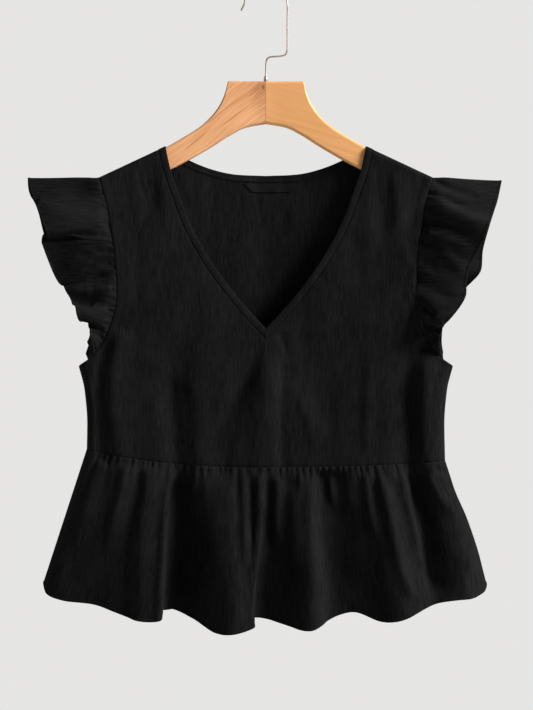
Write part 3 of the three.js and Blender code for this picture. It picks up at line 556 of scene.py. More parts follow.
FRONT = Side(Facing.FRONT, FRONT_NECK, FRONT_BODICE_CREASES, 0, 1000.0, 11)
BACK = Side(Facing.BACK, BACK_NECK, BACK_BODICE_CREASES, 1, 122.0, 12)


class GarmentForm:
    """The shared form of the garment: every panel, band and seam is worked out from it.

    Its sizes are in mm. The neck's half width and height and the slope give the shoulder line, the waist's
    sizes give the waist seam, and the reaches say over which distance the cloth turns at a shoulder and at
    a side.
    """

    neck_half, neck_height, slope = 120.3, -197.4, 0.477
    shoulder_reach, side_reach = 5.0, 10.0
    closed = 0.03  # width of the strip along a side seam where front and back touch
    underarm_middle, underarm = -434.0, -461.0
    waist_height, waist_half, waist_power = -582.0, 215.5, 2.4
    left_rise, right_rise = 21.0, 7.5  # of the waist seam, at its two ends
    allowance = 9.4  # from the armhole seam in to its topstitching
    arm_room = 7.4  # the cloth's least stand over the hanger's arms
    below_arms, over_arms = -300.0, -262.0  # heights between which that stand comes in
    sweep, sweep_start = 0.078, 8.0  # how the hanger's arms lean forward, and over what length that starts
    hanging_sweep = 0.3  # share of the lean that the cloth keeps where it hangs free
    hanging, lying = -540.0, -250.0  # heights between which the cloth comes to have all of it

    def __init__(self) -> None:
        """Lay out the curves that the panels share."""
        self.armhole = SmoothPath(ARMHOLE)
        self.side = SmoothTable(SIDE)
        self.stand = SmoothTable(STAND)

    def shoulder(self, x: Points) -> Points:
        """Return the height of the shoulder line."""
        return self.neck_height - self.slope * (np.abs(x) - self.neck_half)

    def swept(self, x: Points) -> Points:
        """Return how far forward the hanger's arms reach."""
        return -self.sweep * (np.hypot(x, self.sweep_start) - self.sweep_start)

    def middle(self, x: Points, z: Points) -> Points:
        """Return the middle of the garment between its front and back."""
        kept = self.hanging_sweep + (1 - self.hanging_sweep) * smoothstep(z, self.hanging, self.lying)
        return self.swept(x) * kept

    def waist(self, x: Points) -> Points:
        """Return the height of the waist seam."""
        rise = np.where(x < 0, self.left_rise, self.right_rise)
        return self.waist_height + rise * np.minimum(1, np.abs(x) / self.waist_half) ** self.waist_power

    def half_width(self, z: Points) -> Points:
        """Return half the bodice's width at a height."""
        return self.side.at(np.minimum(z, self.underarm))

    def bodice(self, side: Side, x: Points, z: Points, raised: Points | float = 0.0) -> Points:
        """Return points of the bodice's front or back.

        Args:
            side: the front or the back.
            x: places across, in mm.
            z: heights, in mm.
            raised: how far each point stands out of the panel, in mm.

        Returns:
            The points, one (x, y, z) for each place.
        """
        turn = turned(self.shoulder(x) - z, self.shoulder_reach)
        turn = turn * turned(self.half_width(z) - np.abs(x) - self.closed, self.side_reach)
        small = Unevenness(side.seed, 11, 85).at(x, z) * 0.4
        small = small + Unevenness(side.seed + 1, 26, 60).at(x, z) * 0.6
        stand = self.stand.at(z, side.column) + relief_of(side.creases, x, z) + small
        stand = np.maximum(stand, self.arm_room * smoothstep(z, self.below_arms, self.over_arms))
        y = self.middle(x, z) + side.facing.value * (PARTING / 2 + (stand + raised) * turn)
        return np.stack([x, y, z], axis=-1)

    def inset_neck(self, side: Side, inset: float) -> Points:
        """Return a half neckline moved away from the opening, its ends on the middle and the shoulder.

        Args:
            side: the front or the back.
            inset: how far it moves, in mm.

        Returns:
            The moved outline's points (x, z).
        """
        rows = np.asarray(side.neck, float)
        last = len(rows) - 1
        moved = rows.copy()
        for i, row in enumerate(rows):
            before, after = rows[max(0, i - 1)], rows[min(last, i + 1)]
            away = np.array([after[1] - before[1], before[0] - after[0]])
            away /= np.linalg.norm(away)
            if i == 0:
                moved[i] = (0, row[1] + inset / away[1])
            elif i < last:
                moved[i] = row + inset * away
            else:
                x = row[0] + inset / (away[0] - self.slope * away[1])
                moved[i] = (x, self.shoulder(x))
        return moved

    def neck_edge(self, side: Side, inset: float, distance: Points) -> Points:
        """Return where the rows that start down the armhole end, on the neckline or the middle line.

        Args:
            side: the front or the back.
            inset: how far the neckline is moved from the opening, in mm.
            distance: how far down the armhole each row starts, in mm.

        Returns:
            The ends (x, z) of the rows.
        """
        neck = SmoothPath(self.inset_neck(side, inset))
        whole = self.armhole.length
        run = min(side.neck_run, whole)
        stretch = run / neck.length
        share = np.clip(distance / run, 0, 1)
        ends = neck.at(1 - share * stretch / (1 + (stretch - 1) * share))
        if run < whole:
            below = np.clip((distance - run) / (whole - run), 0, 1)
            foot = neck.at(0.0)[1]
            ends[distance > run, 0] = 0
            ends[:, 1] = np.where(distance > run, mixed(foot, self.underarm_middle, below), ends[:, 1])
        return ends

    def armhole_outward(self, hand: Hand, share: Points) -> Points:
        """Return which way the armhole's seam faces.

        Args:
            hand: the armhole's side.
            share: shares of the way down it.

        Returns:
            The direction across the seam and away from the bodice, at each share.
        """
        step = 0.004
        before, after = (self.armhole.at(np.clip(share + way, 0, 1)) for way in (-step, step))
        along = unit(after - before)
        return np.stack([-along[..., 1] * hand.value, 0 * along[..., 0], along[..., 0]], axis=-1)

    def armhole_point(self, side: Side, hand: Hand, share: Points, inset: float = 0.0) -> Points:
        """Return points on or inside a panel's armhole edge.

        Args:
            side: the front or the back.
            hand: the armhole's side.
            share: shares of the way down it.
            inset: how far inside the edge the points lie, in mm.

        Returns:
            The points, one (x, y, z) for each share.
        """
        place = self.armhole.at(share)
        place = np.stack([hand.value * place[..., 0], place[..., 1]], axis=-1)
        place = place - inset * self.armhole_outward(hand, share)[..., [0, 2]]
        return self.bodice(side, place[..., 0], place[..., 1])


FORM = GarmentForm()


def grid_quads(index: Points, flip: bool = False) -> Points:
    """Return the four-cornered faces between neighbouring rows and columns of point numbers.

    Args:
        index: the point numbers, in rows and columns.
        flip: whether the faces turn the other way.

    Returns:
        The faces, as rows of four point numbers.
    """
    corners = [index[:-1, :-1], index[:-1, 1:], index[1:, 1:], index[1:, :-1]]
    if flip:
        corners.reverse()
    return np.stack([c.ravel() for c in corners], axis=-1)


@dataclass
class Wall:
    """A closed wall of cloth around a sheet of faces.

    Args:
        points: the points of the sheet's middle surface, in mm.
        quads: its faces.
        thickness: the wall's thickness at each point, in mm.
        flat: the place of each point on the flat cloth, in mm.
        seams: for points on a seam, the directions that their wall stays square to.
    """

    points: Points
    quads: Points
    thickness: Points
    flat: Points
    seams: list[tuple[Points, Points]] = field(default_factory=list)

    def normals(self) -> Points:
        """Work out the sheet's normals, held square to the directions that its seams name.

        Returns:
            The normal at each point.
        """
        a, b, c, d = (self.points[self.quads[:, k]] for k in range(4))
        faces = np.cross(c - a, d - b)
        normals = np.zeros_like(self.points)
        for k in range(4):
            np.add.at(normals, self.quads[:, k], faces)
        for where, axis in self.seams:
            held = normals[where]
            normals[where] = held - (held * axis).sum(axis=-1, keepdims=True) * axis
        return unit(normals)

    def area(self) -> float:
        """Return the area of the sheet's middle surface, in square metres."""
        a, b, c, d = (self.points[self.quads[:, k]] for k in range(4))
        return float(np.linalg.norm(np.cross(c - a, d - b), axis=1).sum() / 2) * MM * MM

    def raise_piece(self, name: str) -> bpy.types.Object:
        """Make the wall's object.

        Args:
            name: the piece's name.

        Returns:
            The new object, with its cloth coordinates in metres in the map "cloth".
        """
        count = len(self.points)
        offset = self.normals() * self.thickness[:, None] / 2
        places = np.vstack([self.points + offset, self.points - offset])
        sides = np.vstack([self.quads[:, [k, (k + 1) % 4]] for k in range(4)])
        keys = sides[:, 0].astype(np.int64) * count + sides[:, 1]
        back = sides[:, 1].astype(np.int64) * count + sides[:, 0]
        edge = sides[~np.isin(keys, back)]
        rim = np.stack([edge[:, 1], edge[:, 0], edge[:, 0] + count, edge[:, 1] + count], axis=-1)
        faces = np.vstack([self.quads, self.quads[:, ::-1] + count, rim])
        return make_piece(name, places, faces, np.vstack([self.flat, self.flat]))


def make_piece(name: str, places: Points, faces: Points, flat: Points | None = None) -> bpy.types.Object:
    """Make a smooth mesh object from points in millimetres.

    Args:
        name: the piece's name.
        places: its points, in mm.
        faces: its faces, all with the same number of corners.
        flat: the place of each point on the flat cloth, in mm.

    Returns:
        The new object, linked to the scene.
    """
    mesh = bpy.data.meshes.new(name)
    size = faces.shape[1]
    mesh.vertices.add(len(places))
    mesh.vertices.foreach_set("co", (places * MM).ravel())
    mesh.loops.add(faces.size)
    mesh.loops.foreach_set("vertex_index", faces.ravel().astype(np.int32))
    mesh.polygons.add(len(faces))
    mesh.polygons.foreach_set("loop_start", np.arange(0, faces.size, size, dtype=np.int32))
    mesh.update(calc_edges=True)
    if flat is not None:
        layer = mesh.uv_layers.new(name="cloth")
        layer.data.foreach_set("uv", (flat[faces.ravel()] * MM).ravel())
    mesh.shade_smooth()
    mesh.set_sharp_from_angle(angle=math.radians(SHARP_FOLD))
    mesh.validate()
    piece = bpy.data.objects.new(name, mesh)
    bpy.context.scene.collection.objects.link(piece)
    return piece


@dataclass(frozen=True)
class Thread:
    """A run of stitches in thick thread.

    Args:
        pitch: from one stitch to the next, in mm.
        length: of one stitch, in mm.
        radius: of the thread, in mm.
    """

    pitch: float = 3.0
    length: float = 2.3
    radius: float = 0.28

    def bead(self) -> tuple[Points, Points]:
        """Shape one stitch, along the first axis and standing up the third.

        Returns:
            Its points and its faces.
        """
        stations = (
            (-0.5, 0.15, -0.5), (-0.36, 0.8, 0.1), (0.0, 1.0, 0.35), (0.36, 0.8, 0.1), (0.5, 0.15, -0.5),
        )
        corners = 6
        angles = np.arange(corners) * math.tau / corners
        rings = []
        for along, size, lift in stations:
            across, up = np.cos(angles) * size, np.sin(angles) * size + lift
            along = np.full(corners, along * self.length)
            rings.append(np.stack([along, across * self.radius, up * self.radius], axis=-1))
        index = np.arange(len(stations) * corners).reshape(-1, corners)
        first, last = np.array([[0, 5, 4, 3], [0, 3, 2, 1]]), np.array([[0, 1, 2, 3], [0, 3, 4, 5]])
        ends = [index[0][first], index[-1][last]]
        around = grid_quads(np.hstack([index, index[:, :1]]))
        return np.vstack(rings), np.vstack([around, *ends])

    def sew(self, name: str, runs: list[tuple[Points, Points]]) -> bpy.types.Object:
        """Lay stitches along lines.

        Args:
            name: the piece's name.
            runs: for each line, its points and the outward direction at each, in mm.

        Returns:
            One object that holds all the stitches.
        """
        shape, faces = self.bead()
        places, parts = [], []
        for line, outward in runs:
            run = run_along(line)
            at = np.arange(self.pitch / 2, run[-1], self.pitch)
            along = unit(read_along(line, run, at + 0.5) - read_along(line, run, at - 0.5))
            across = unit(np.cross(read_along(outward, run, at), along))
            basis = np.stack([along, across, np.cross(along, across)], axis=1)
            beads = read_along(line, run, at)[:, None, :] + np.einsum("pk,nkc->npc", shape, basis)
            shift = sum(len(p) for p in places) + np.arange(len(at))[:, None, None] * len(shape)
            places.append(beads.reshape(-1, 3))
            parts.append((faces[None] + shift).reshape(-1, 4))
        return make_piece(name, np.vstack(places), np.vstack(parts))


class Link:
    """A node's output, on which plain arithmetic adds Math nodes."""

    def __init__(self, graph: "Graph", socket: bpy.types.NodeSocket) -> None:
        """Hold a socket of a graph."""
        self.graph, self.socket = graph, socket

    def math(self, operation: str, *values: "Link | float", clamp: bool = False) -> "Link":
        """Add a Math node that works on values in the order given."""
        settings = {"operation": operation, "use_clamp": clamp}
        return self.graph.node("ShaderNodeMath", settings, dict(enumerate(values)))

    def __add__(self, other: "Link | float") -> "Link":
        """Return self + other."""
        return self.math("ADD", self, other)

    __radd__ = __add__

    def __sub__(self, other: "Link | float") -> "Link":
        """Return self - other."""
        return self.math("SUBTRACT", self, other)

    def __rsub__(self, other: "Link | float") -> "Link":
        """Return other - self."""
        return self.math("SUBTRACT", other, self)

    def __mul__(self, other: "Link | float") -> "Link":
        """Return self * other."""
        return self.math("MULTIPLY", self, other)

    __rmul__ = __mul__

    def __truediv__(self, other: "Link | float") -> "Link":
        """Return self / other."""
        return self.math("DIVIDE", self, other)

    def __pow__(self, other: "Link | float") -> "Link":
        """Return self to the power of other."""
        return self.math("POWER", self, other)

    def sine(self) -> "Link":
        """Return the sine."""
        return self.math("SINE", self)

    def size(self) -> "Link":
        """Return the value without its sign."""
        return self.math("ABSOLUTE", self)

    def between(self, low: float, high: float) -> "Link":
        """Return a smooth rise between two values.

        Args:
            low: below this the rise is 0.
            high: above this it is 1.

        Returns:
            The share of the rise.
        """
        settings = {"interpolation_type": "SMOOTHSTEP"}
        values = {"Value": self, "From Min": low, "From Max": high, "To Min": 0.0, "To Max": 1.0}
        return self.graph.node("ShaderNodeMapRange", settings, values)


class Graph:
    """The nodes of one material."""

    def __init__(self, name: str) -> None:
        """Start a material with an empty tree.

        Args:
            name: the material's name.
        """
        self.material = bpy.data.materials.new(name)
        self.material.use_nodes = True
        self.tree = self.material.node_tree
        self.tree.nodes.clear()

    def node(
        self, kind: str, settings: dict | None = None, values: dict | None = None, out: int | str = 0
    ) -> Link:
        """Add a node.

        Args:
            kind: the node's type.
            settings: its properties.
            values: numbers, colours or links for its inputs, by name or number.
            out: the output wanted, by name or number.

        Returns:
            The wanted output.
        """
        node = self.tree.nodes.new(kind)
        for key, value in (settings or {}).items():
            setattr(node, key, value)
        for key, value in (values or {}).items():
            socket = node.inputs[key]
            if isinstance(value, Link):
                self.tree.links.new(value.socket, socket)
            else:
                socket.default_value = (*value, 1.0) if socket.type == "RGBA" else value
        return Link(self, node.outputs[out])

    def in_space(self) -> Link:
        """Return the place in the piece's own space, in metres."""
        return self.node("ShaderNodeTexCoord", out="Object")

    def on_cloth(self) -> Link:
        """Return the place on the flat cloth, in metres."""
        return self.node("ShaderNodeUVMap", {"uv_map": "cloth"})

    def part(self, vector: Link, axis: str) -> Link:
        """Return a vector's part along an axis."""
        return self.node("ShaderNodeSeparateXYZ", {}, {0: vector}, axis)

    def blend(self, share: Link | float, low: Link | tuple, high: Link | tuple) -> Link:
        """Return a colour between two, by a share."""
        return self.node("ShaderNodeMix", {"data_type": "RGBA"}, {0: share, 6: low, 7: high}, 2)

    def scaled(self, vector: Link, scale: tuple) -> Link:
        """Return a vector multiplied by a scale along each axis."""
        return self.node("ShaderNodeVectorMath", {"operation": "MULTIPLY"}, {0: vector, 1: scale})

    def noise(self, vector: Link, detail: float = 2.0, scale: float = 1.0, roughness: float = 0.5) -> Link:
        """Return smooth noise of about 0.5 on average."""
        values = {"Vector": vector, "Scale": scale, "Detail": detail, "Roughness": roughness}
        return self.node("ShaderNodeTexNoise", {}, values)

    def bump(self, height: Link, strength: float, distance: float) -> Link:
        """Return the normal of a relief, its distance in metres."""
        values = {"Strength": strength, "Distance": distance, "Height": height}
        return self.node("ShaderNodeBump", {}, values)

    def surface(self, **values: Link | float | tuple) -> bpy.types.Material:
        """Finish the material with one Principled shader.

        Args:
            values: the shader's inputs, with an underscore for each space in a name.

        Returns:
            The finished material.
        """
        spaced = {key.replace("_", " "): value for key, value in values.items()}
        shader = self.node("ShaderNodeBsdfPrincipled", {}, spaced)
        output = self.tree.nodes.new("ShaderNodeOutputMaterial")
        self.tree.links.new(shader.socket, output.inputs["Surface"])
        return self.material


def toned(colour: tuple, factor: float) -> tuple:
    """Return a colour made darker or lighter by a factor."""
    return tuple(part * factor for part in colour)


@dataclass(frozen=True)
class ClothFinish:
    """Matt black woven cloth with a fine vertical slub.

    Args:
        name: the material's name.
        dark: colour between the yarns.
        light: colour on the yarns.
        yarn: spacing of the yarns, in mm.
        slub: width of the slub streaks, in mm.
        slub_run: how many of them follow each other in a metre.
        nep: width of the short thick places in the yarn, in mm.
        nep_run: how many of them follow each other in a metre.
        patches: how many broad uneven patches a metre holds, across and down.
        gloss: specular level.
        rough: average roughness.
        fuzz: weight of the fine nap that catches light at a slant.
        relief: height of the weave, in metres.
    """

    name: str
    dark: tuple = (0.0009, 0.0009, 0.0010)
    light: tuple = (0.0104, 0.0104, 0.0105)
    yarn: float = 0.62
    slub: float = 1.9
    slub_run: float = 44.0
    nep: float = 0.8
    nep_run: float = 160.0
    patches: tuple = (14, 9, 1)
    gloss: float = 0.05
    rough: float = 0.78
    fuzz: float = 0.012
    relief: float = 0.00022

    def make(self) -> bpy.types.Material:
        """Make the material.

        Returns:
            The finished material.
        """
        g = Graph(self.name)
        place = g.on_cloth()
        turn = math.tau / (self.yarn * MM)
        weave = (g.part(place, "X") * turn).sine() * (g.part(place, "Y") * turn).sine() * 0.5 + 0.5
        streak = g.noise(g.scaled(place, (1 / (self.slub * MM), self.slub_run, 1)), 2.5)
        short = g.noise(g.scaled(place, (1 / (self.nep * MM), self.nep_run, 1)), 1.5)
        cloud = g.noise(g.scaled(place, self.patches), 3.0)
        tone = weave * 0.16 + streak * 0.5 + short * 0.24 + cloud * 0.3
        height = weave * 0.45 + streak * 0.7 + short * 0.35
        return g.surface(
            Base_Color=g.blend(tone.between(0.40, 0.80), self.dark, self.light),
            Roughness=streak * 0.16 + cloud * 0.1 + (self.rough - 0.13),
            Specular_IOR_Level=self.gloss,
            Sheen_Weight=self.fuzz,
            Sheen_Roughness=0.45,
            Normal=g.bump(height, 0.55, self.relief),
        )


@dataclass(frozen=True)
class ThreadFinish:
    """Twisted black sewing thread.

    Args:
        name: the material's name.
        colour: its average colour.
        plies: how many turns of its plies a metre holds.
    """

    name: str = "black_thread"
    colour: tuple = (0.0052, 0.0052, 0.0055)
    plies: float = 2600.0

    def make(self) -> bpy.types.Material:
        """Make the material.

        Returns:
            The finished material.
        """
        g = Graph(self.name)
        ply = g.noise(g.scaled(g.in_space(), (self.plies, self.plies, self.plies)), 2.0)
        return g.surface(
            Base_Color=g.blend(ply, toned(self.colour, 0.5), toned(self.colour, 1.6)),
            Roughness=ply * 0.2 + 0.55,
            Specular_IOR_Level=0.1,
            Normal=g.bump(ply, 0.4, 0.0001),
        )


@dataclass(frozen=True)
class SatinFinish:
    """Bare black satin tape, with its threads running across.

    Args:
        name: the material's name.
        colour: its average colour.
        threads: how many thread ends a metre holds, across and down.
        patches: how many uneven patches it holds.
    """

    name: str = "black_satin_tape"
    colour: tuple = (0.0034, 0.0034, 0.0038)
    threads: tuple = (260, 3200, 1)
    patches: tuple = (60, 160, 1)

    def make(self) -> bpy.types.Material:
        """Make the material.

        Returns:
            The finished material.
        """
        g = Graph(self.name)
        place = g.on_cloth()
        floats = g.noise(g.scaled(place, self.threads), 2.0)
        cloud = g.noise(g.scaled(place, self.patches), 2.0)
        return g.surface(
            Base_Color=g.blend(floats, toned(self.colour, 0.6), toned(self.colour, 1.7)),
            Roughness=floats * 0.15 + cloud * 0.12 + 0.42,
            Specular_IOR_Level=0.12,
            Normal=g.bump(floats, 0.3, 0.00012),
        )


@dataclass(frozen=True)
class WoodFinish:
    """Satin lacquered light hardwood.

    Args:
        name: the material's name.
        light: colour of the pale wood between the growth rings.
        dark: colour of the rings.
        tilt: angle of the grain to the horizontal, in degrees.
        streak: colour of the few dark streaks.
        streaked: how strongly they show.
        knot: place (x, z) of a small dark knot in mm, or None.
        knot_heart: colour of the knot's middle.
        seed: shifts the pattern.
        rings: how many growth rings a metre holds.
        fibres: how many fibres a metre holds, along the grain, in depth and across it.
    """

    name: str
    light: tuple
    dark: tuple
    tilt: float
    streak: tuple = (0.50, 0.20, 0.08)
    streaked: float = 0.35
    knot: tuple | None = None
    knot_heart: tuple = (0.16, 0.07, 0.03)
    seed: float = 0.0
    rings: float = 210.0
    fibres: tuple = (24, 500, 1300)

    def knotted(self, g: Graph, place: Link, fibre: Link, base: Link) -> Link:
        """Lay the knot and the stain around it over the wood's colour.

        Args:
            g: the material's nodes.
            place: the place on the piece.
            fibre: the pattern of the fibres.
            base: the wood's colour.

        Returns:
            The colour with the knot.
        """
        x, z = self.knot
        centre = (x * MM, 0.0, z * MM)
        away = g.node("ShaderNodeVectorMath", {"operation": "SUBTRACT"}, {0: place, 1: centre})
        away = g.scaled(away, (1, 0, 0.6))
        distance = g.node("ShaderNodeVectorMath", {"operation": "LENGTH"}, {0: away}, "Value")
        stain = (1 - distance.between(0.004, 0.026)) * fibre.between(0.34, 0.60)
        base = g.blend(stain * 0.8, base, toned(self.streak, 0.75))
        heart = 1 - distance.between(0.0007, 0.0026)
        return g.blend(heart * 0.75, base, self.knot_heart)

    def make(self) -> bpy.types.Material:
        """Make the material.

        Returns:
            The finished material.
        """
        g = Graph(self.name)
        place = g.in_space()
        turn = {"Rotation": (0.0, math.radians(self.tilt), 0.0), "Location": (self.seed, 0.0, self.seed)}
        along = g.node("ShaderNodeMapping", {}, {"Vector": place, **turn})
        sway = g.noise(g.scaled(along, (9, 9, 22)), 2.5) * 0.02
        height = g.part(along, "Z") + sway
        across = g.node("ShaderNodeCombineXYZ", {}, {"X": 0.0, "Y": 0.0, "Z": height})
        bands = g.noise(g.scaled(across, (1, 1, self.rings)), 3.0, 1.0, 0.62)
        fibre = g.noise(g.scaled(along, self.fibres), 3.0)
        pores = g.noise(g.scaled(along, (110, 2600, 2600)), 1.0).between(0.66, 0.78)
        cloud = g.noise(g.scaled(along, (12, 14, 40)), 3.0)
        share = bands * 0.62 + fibre * 0.22 + cloud * 0.30
        base = g.blend(share.between(0.36, 0.86), self.light, self.dark)
        streaks = g.noise(g.scaled(along, (13, 60, 300)), 2.5).between(0.55, 0.71)
        base = g.blend(streaks * self.streaked, base, self.streak)
        base = g.blend(pores * 0.2, base, toned(self.dark, 0.6))
        joint = 1 - g.part(place, "X").size().between(0.0002, 0.0007)
        base = g.blend(joint * 0.6, base, toned(self.dark, 0.45))
        if self.knot:
            base = self.knotted(g, place, fibre, base)
        return g.surface(
            Base_Color=base,
            Roughness=fibre * 0.14 + 0.36,
            Specular_IOR_Level=0.42,
            Coat_Weight=0.12,
            Coat_Roughness=0.25,
            Normal=g.bump(fibre * 0.4 - pores * 0.8, 0.25, 0.00015),
        )


@dataclass(frozen=True)
class SteelFinish:
    """Drawn nickel-plated steel, slightly dulled.

    Args:
        name: the material's name.
        bright: colour of the clean metal.
        dull: colour where it has tarnished.
        marks: how many drawing marks a metre holds, around the wire and along it.
    """

    name: str = "nickel_plated_wire"
    bright: tuple = (0.48, 0.41, 0.35)
    dull: tuple = (0.32, 0.26, 0.21)
    marks: tuple = (1800, 1800, 240)

    def make(self) -> bpy.types.Material:
        """Make the material.

        Returns:
            The finished material.
        """
        g = Graph(self.name)
        place = g.in_space()
        tarnish = g.noise(g.scaled(place, (60, 60, 60)), 3.0)
        drawn = g.noise(g.scaled(place, self.marks), 2.0)
        return g.surface(
            Base_Color=g.blend(tarnish.between(0.35, 0.75), self.bright, self.dull),
            Metallic=0.6,
            Roughness=tarnish * 0.12 + drawn * 0.08 + 0.28,
            Normal=g.bump(drawn, 0.12, 0.00005),
        )


class Finishes:
    """All the finishes of the top and its hanger, each made once."""

    def __init__(self) -> None:
        """Make the materials."""
        self.cloth = ClothFinish("black_slub_cloth").make()
        # The band's finish is the cloth with its dark yarns made lighter: painted light, standing for the
        # light that the up-facing folded band catches.
        self.band = ClothFinish(
            "black_bias_band_painted_lighter", dark=(0.0026, 0.0026, 0.0027), light=(0.0098, 0.0098, 0.0099)
        ).make()
        self.thread = ThreadFinish().make()
        self.satin = SatinFinish().make()
        self.left_wood = WoodFinish(
            "pale_hardwood_left", (0.79, 0.43, 0.212), (0.47, 0.175, 0.06), 38,
            streaked=1.0, knot=(-3.0, -126), seed=0.31,
        ).make()
        self.right_wood = WoodFinish(
            "pale_hardwood_right", (0.83, 0.42, 0.165), (0.68, 0.31, 0.105), -16, streaked=0.18, seed=0.73
        ).make()
        self.steel = SteelFinish().make()


def dress(
    piece: bpy.types.Object, finish: bpy.types.Material, nodes: tuple[str, ...] = ()
) -> None:
    """Give a piece its finish, its body and the nodes it stands for.

    Args:
        piece: the piece.
        finish: its material.
        nodes: the nodes that the piece replaces.
    """
    piece.data.materials.clear()
    piece.data.materials.append(finish)
    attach(piece, "root")
    if nodes:
        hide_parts(*nodes)
    faces, stands_for = len(piece.data.polygons), ", ".join(nodes) or "nothing"
    LOG.info("%s: %d faces, stands for %s", piece.name, faces, stands_for)


def stitch_line(side: Side, hand: Hand, line: Points, lift: float) -> tuple[Points, Points]:
    """Raise a line of stitches off the bodice.

    Args:
        side: the front or the back.
        hand: the half that the line runs on.
        line: its points inside the cloth, in mm.
        lift: how far out of the cloth the stitches lie, in mm.

    Returns:
        The line's points, and the outward direction at each.
    """
    outward = np.zeros_like(line)
    outward[:, 1] = side.facing.value
    line = line + outward * lift
    if hand.value * side.facing.value > 0:
        return line[::-1], outward[::-1]
    return line, outward


@dataclass
class Bodice:
    """The front and back of the bodice with their topstitching.

    Args:
        rows: rows down the armhole.
        low_rows: rows from the underarm to the waist.
        columns: columns from the middle or the neckline to the side.
        seam_dip: depth of the groove along a seam, in mm.
        seam_width: half its width, in mm.
        stitched: how far the allowances stand up where they are sewn down, in mm.
        stitch_dip: depth of the groove that the topstitching presses, in mm.
        under_band: how far the panel reaches in under the neck band, in mm.
        cut: width and length of a panel's cut, in metres; not used.
    """

    rows: int = 96
    low_rows: int = 46
    columns: int = 96
    seam_dip: float = 0.9
    seam_width: float = 1.5
    stitched: float = 0.35
    stitch_dip: float = 0.22
    under_band: float = 0.7
    cut: tuple = (0.449, 0.385)

    def relief(self, from_arm: Points, from_waist: Points, from_neck: Points) -> Points:
        """Work out how the seams shape a panel: as shallow grooves, with the sewn-down allowances raised.

        Args:
            from_arm: distances from the armhole seam, in mm.
            from_waist: distances from the waist seam, in mm.
            from_neck: distances from the neck band, in mm.

        Returns:
            How far each point stands up, in mm.
        """
        raised = self.stitched * (1 - smoothstep(from_arm, FORM.allowance - 0.3, FORM.allowance + 1.2))
        raised = raised - self.stitch_dip * np.exp(-(((from_arm - FORM.allowance) / 0.7) ** 2))
        for distance in (from_arm, from_waist, from_neck):
            raised = raised - self.seam_dip * np.exp(-((distance / self.seam_width) ** 2))
        return raised

    def half(self, side: Side, hand: Hand, distance: Points) -> tuple[Points, Points, Points]:
        """Lay out one half of a panel in rows, from the middle or the neckline to the side.

        Args:
            side: the front or the back.
            hand: which half.
            distance: how far down the armhole each upper row ends, in mm.

        Returns:
            The places across, the heights, and how far the seams raise each point, in mm.
        """
        whole, sign = FORM.armhole.length, hand.value
        u = np.concatenate([
            [0, 0.002, 0.005],
            np.linspace(0, 0.955, self.columns)[1:],
            [0.966, 0.976, 0.985, 0.991, 0.996, 1.0],
        ])[None]
        down = np.concatenate([np.linspace(0, 1, self.low_rows + 1)[1:-1], [0.988, 0.995, 1.0]])
        inner = FORM.neck_edge(side, BAND_WIDTH - self.under_band, distance)
        outer = FORM.armhole.at(distance / whole)
        x, z = (mixed(inner[:, k : k + 1], outer[:, k : k + 1], u) for k in (0, 1))
        z[0] = FORM.shoulder(x[0])
        span = np.hypot(outer[:, 0] - inner[:, 0], outer[:, 1] - inner[:, 1])[:, None]
        on_neck = (inner[:, :1] > 0.01) | (side.neck_run > whole)
        corner = float(FORM.waist(sign * FORM.waist_half))
        side_height = mixed(FORM.underarm, corner, down)[:, None]
        middle_height = mixed(inner[-1, 1], FORM.waist_height, down)[:, None]
        low_x = FORM.side.at(side_height) * u
        bow = FORM.waist(sign * low_x) - mixed(FORM.waist_height, corner, low_x / low_x[:, -1:])
        low_z = mixed(middle_height, side_height, u) + bow * down[:, None]
        far = np.full(low_x.shape, FAR)
        from_arm = np.vstack([(1 - u) * span, far])
        from_neck = np.vstack([np.where(on_neck, u * span, FAR), far])
        x, z = np.vstack([x, low_x]) * sign, np.vstack([z, low_z])
        return x, z, self.relief(from_arm, z - FORM.waist(x), from_neck)

    def panel(self, side: Side) -> Wall:
        """Return the wall of one panel.

        Args:
            side: the front or the back.

        Returns:
            The wall, both halves joined down the middle below the neckline.
        """
        whole = FORM.armhole.length
        distance = np.concatenate([[0, 0.6, 1.4, 2.6, 4.2], np.linspace(6.5, whole, self.rows)])
        if side.neck_run < whole:
            distance = np.sort(np.append(distance, side.neck_run))
        upper = len(distance)
        up, forward = np.array([[0.0, 0, 1]]), np.array([[0.0, 1, 0]])
        points, flats, quads, seams, start = [], [], [], [], 0
        for hand in (Hand.RIGHT, Hand.LEFT):
            x, z, raised = self.half(side, hand, distance)
            number = start + np.arange(x.size).reshape(x.shape)
            if hand is Hand.RIGHT:
                shared = number[:, 0]
            else:
                on_middle = np.abs(x[:, 0]) < 1e-6
                number[on_middle, 0] = shared[on_middle]
            points.append(FORM.bodice(side, x, z, raised).reshape(-1, 3))
            flats.append(np.stack([x.ravel(), z.ravel()], axis=-1))
            quads.append(grid_quads(number, flip=hand is Hand.LEFT))
            seams += [(number[-1], up), (number[0], forward), (number[upper:, -1], forward)]
            seams.append((number[:upper, -1], FORM.armhole_outward(hand, distance / whole)))
            start += x.size
        quads = np.vstack(quads)
        used, renumbered = np.unique(quads, return_inverse=True)
        lookup = np.full(start, -1)
        lookup[used] = np.arange(len(used))
        return Wall(
            np.vstack(points)[used],
            renumbered.reshape(quads.shape),
            np.full(len(used), CLOTH),
            np.vstack(flats)[used],
            [(lookup[where], axis) for where, axis in seams],
        )

    def topstitching(self) -> bpy.types.Object:
        """Sew down the armholes' allowances.

        Returns:
            The stitches.
        """
        share = np.linspace(0.02, 0.93, 260)
        runs = [
            stitch_line(side, hand, FORM.armhole_point(side, hand, share, FORM.allowance), CLOTH / 2 + 0.05)
            for side in (FRONT, BACK)
            for hand in Hand
        ]
        return Thread().sew("armhole_topstitching", runs)

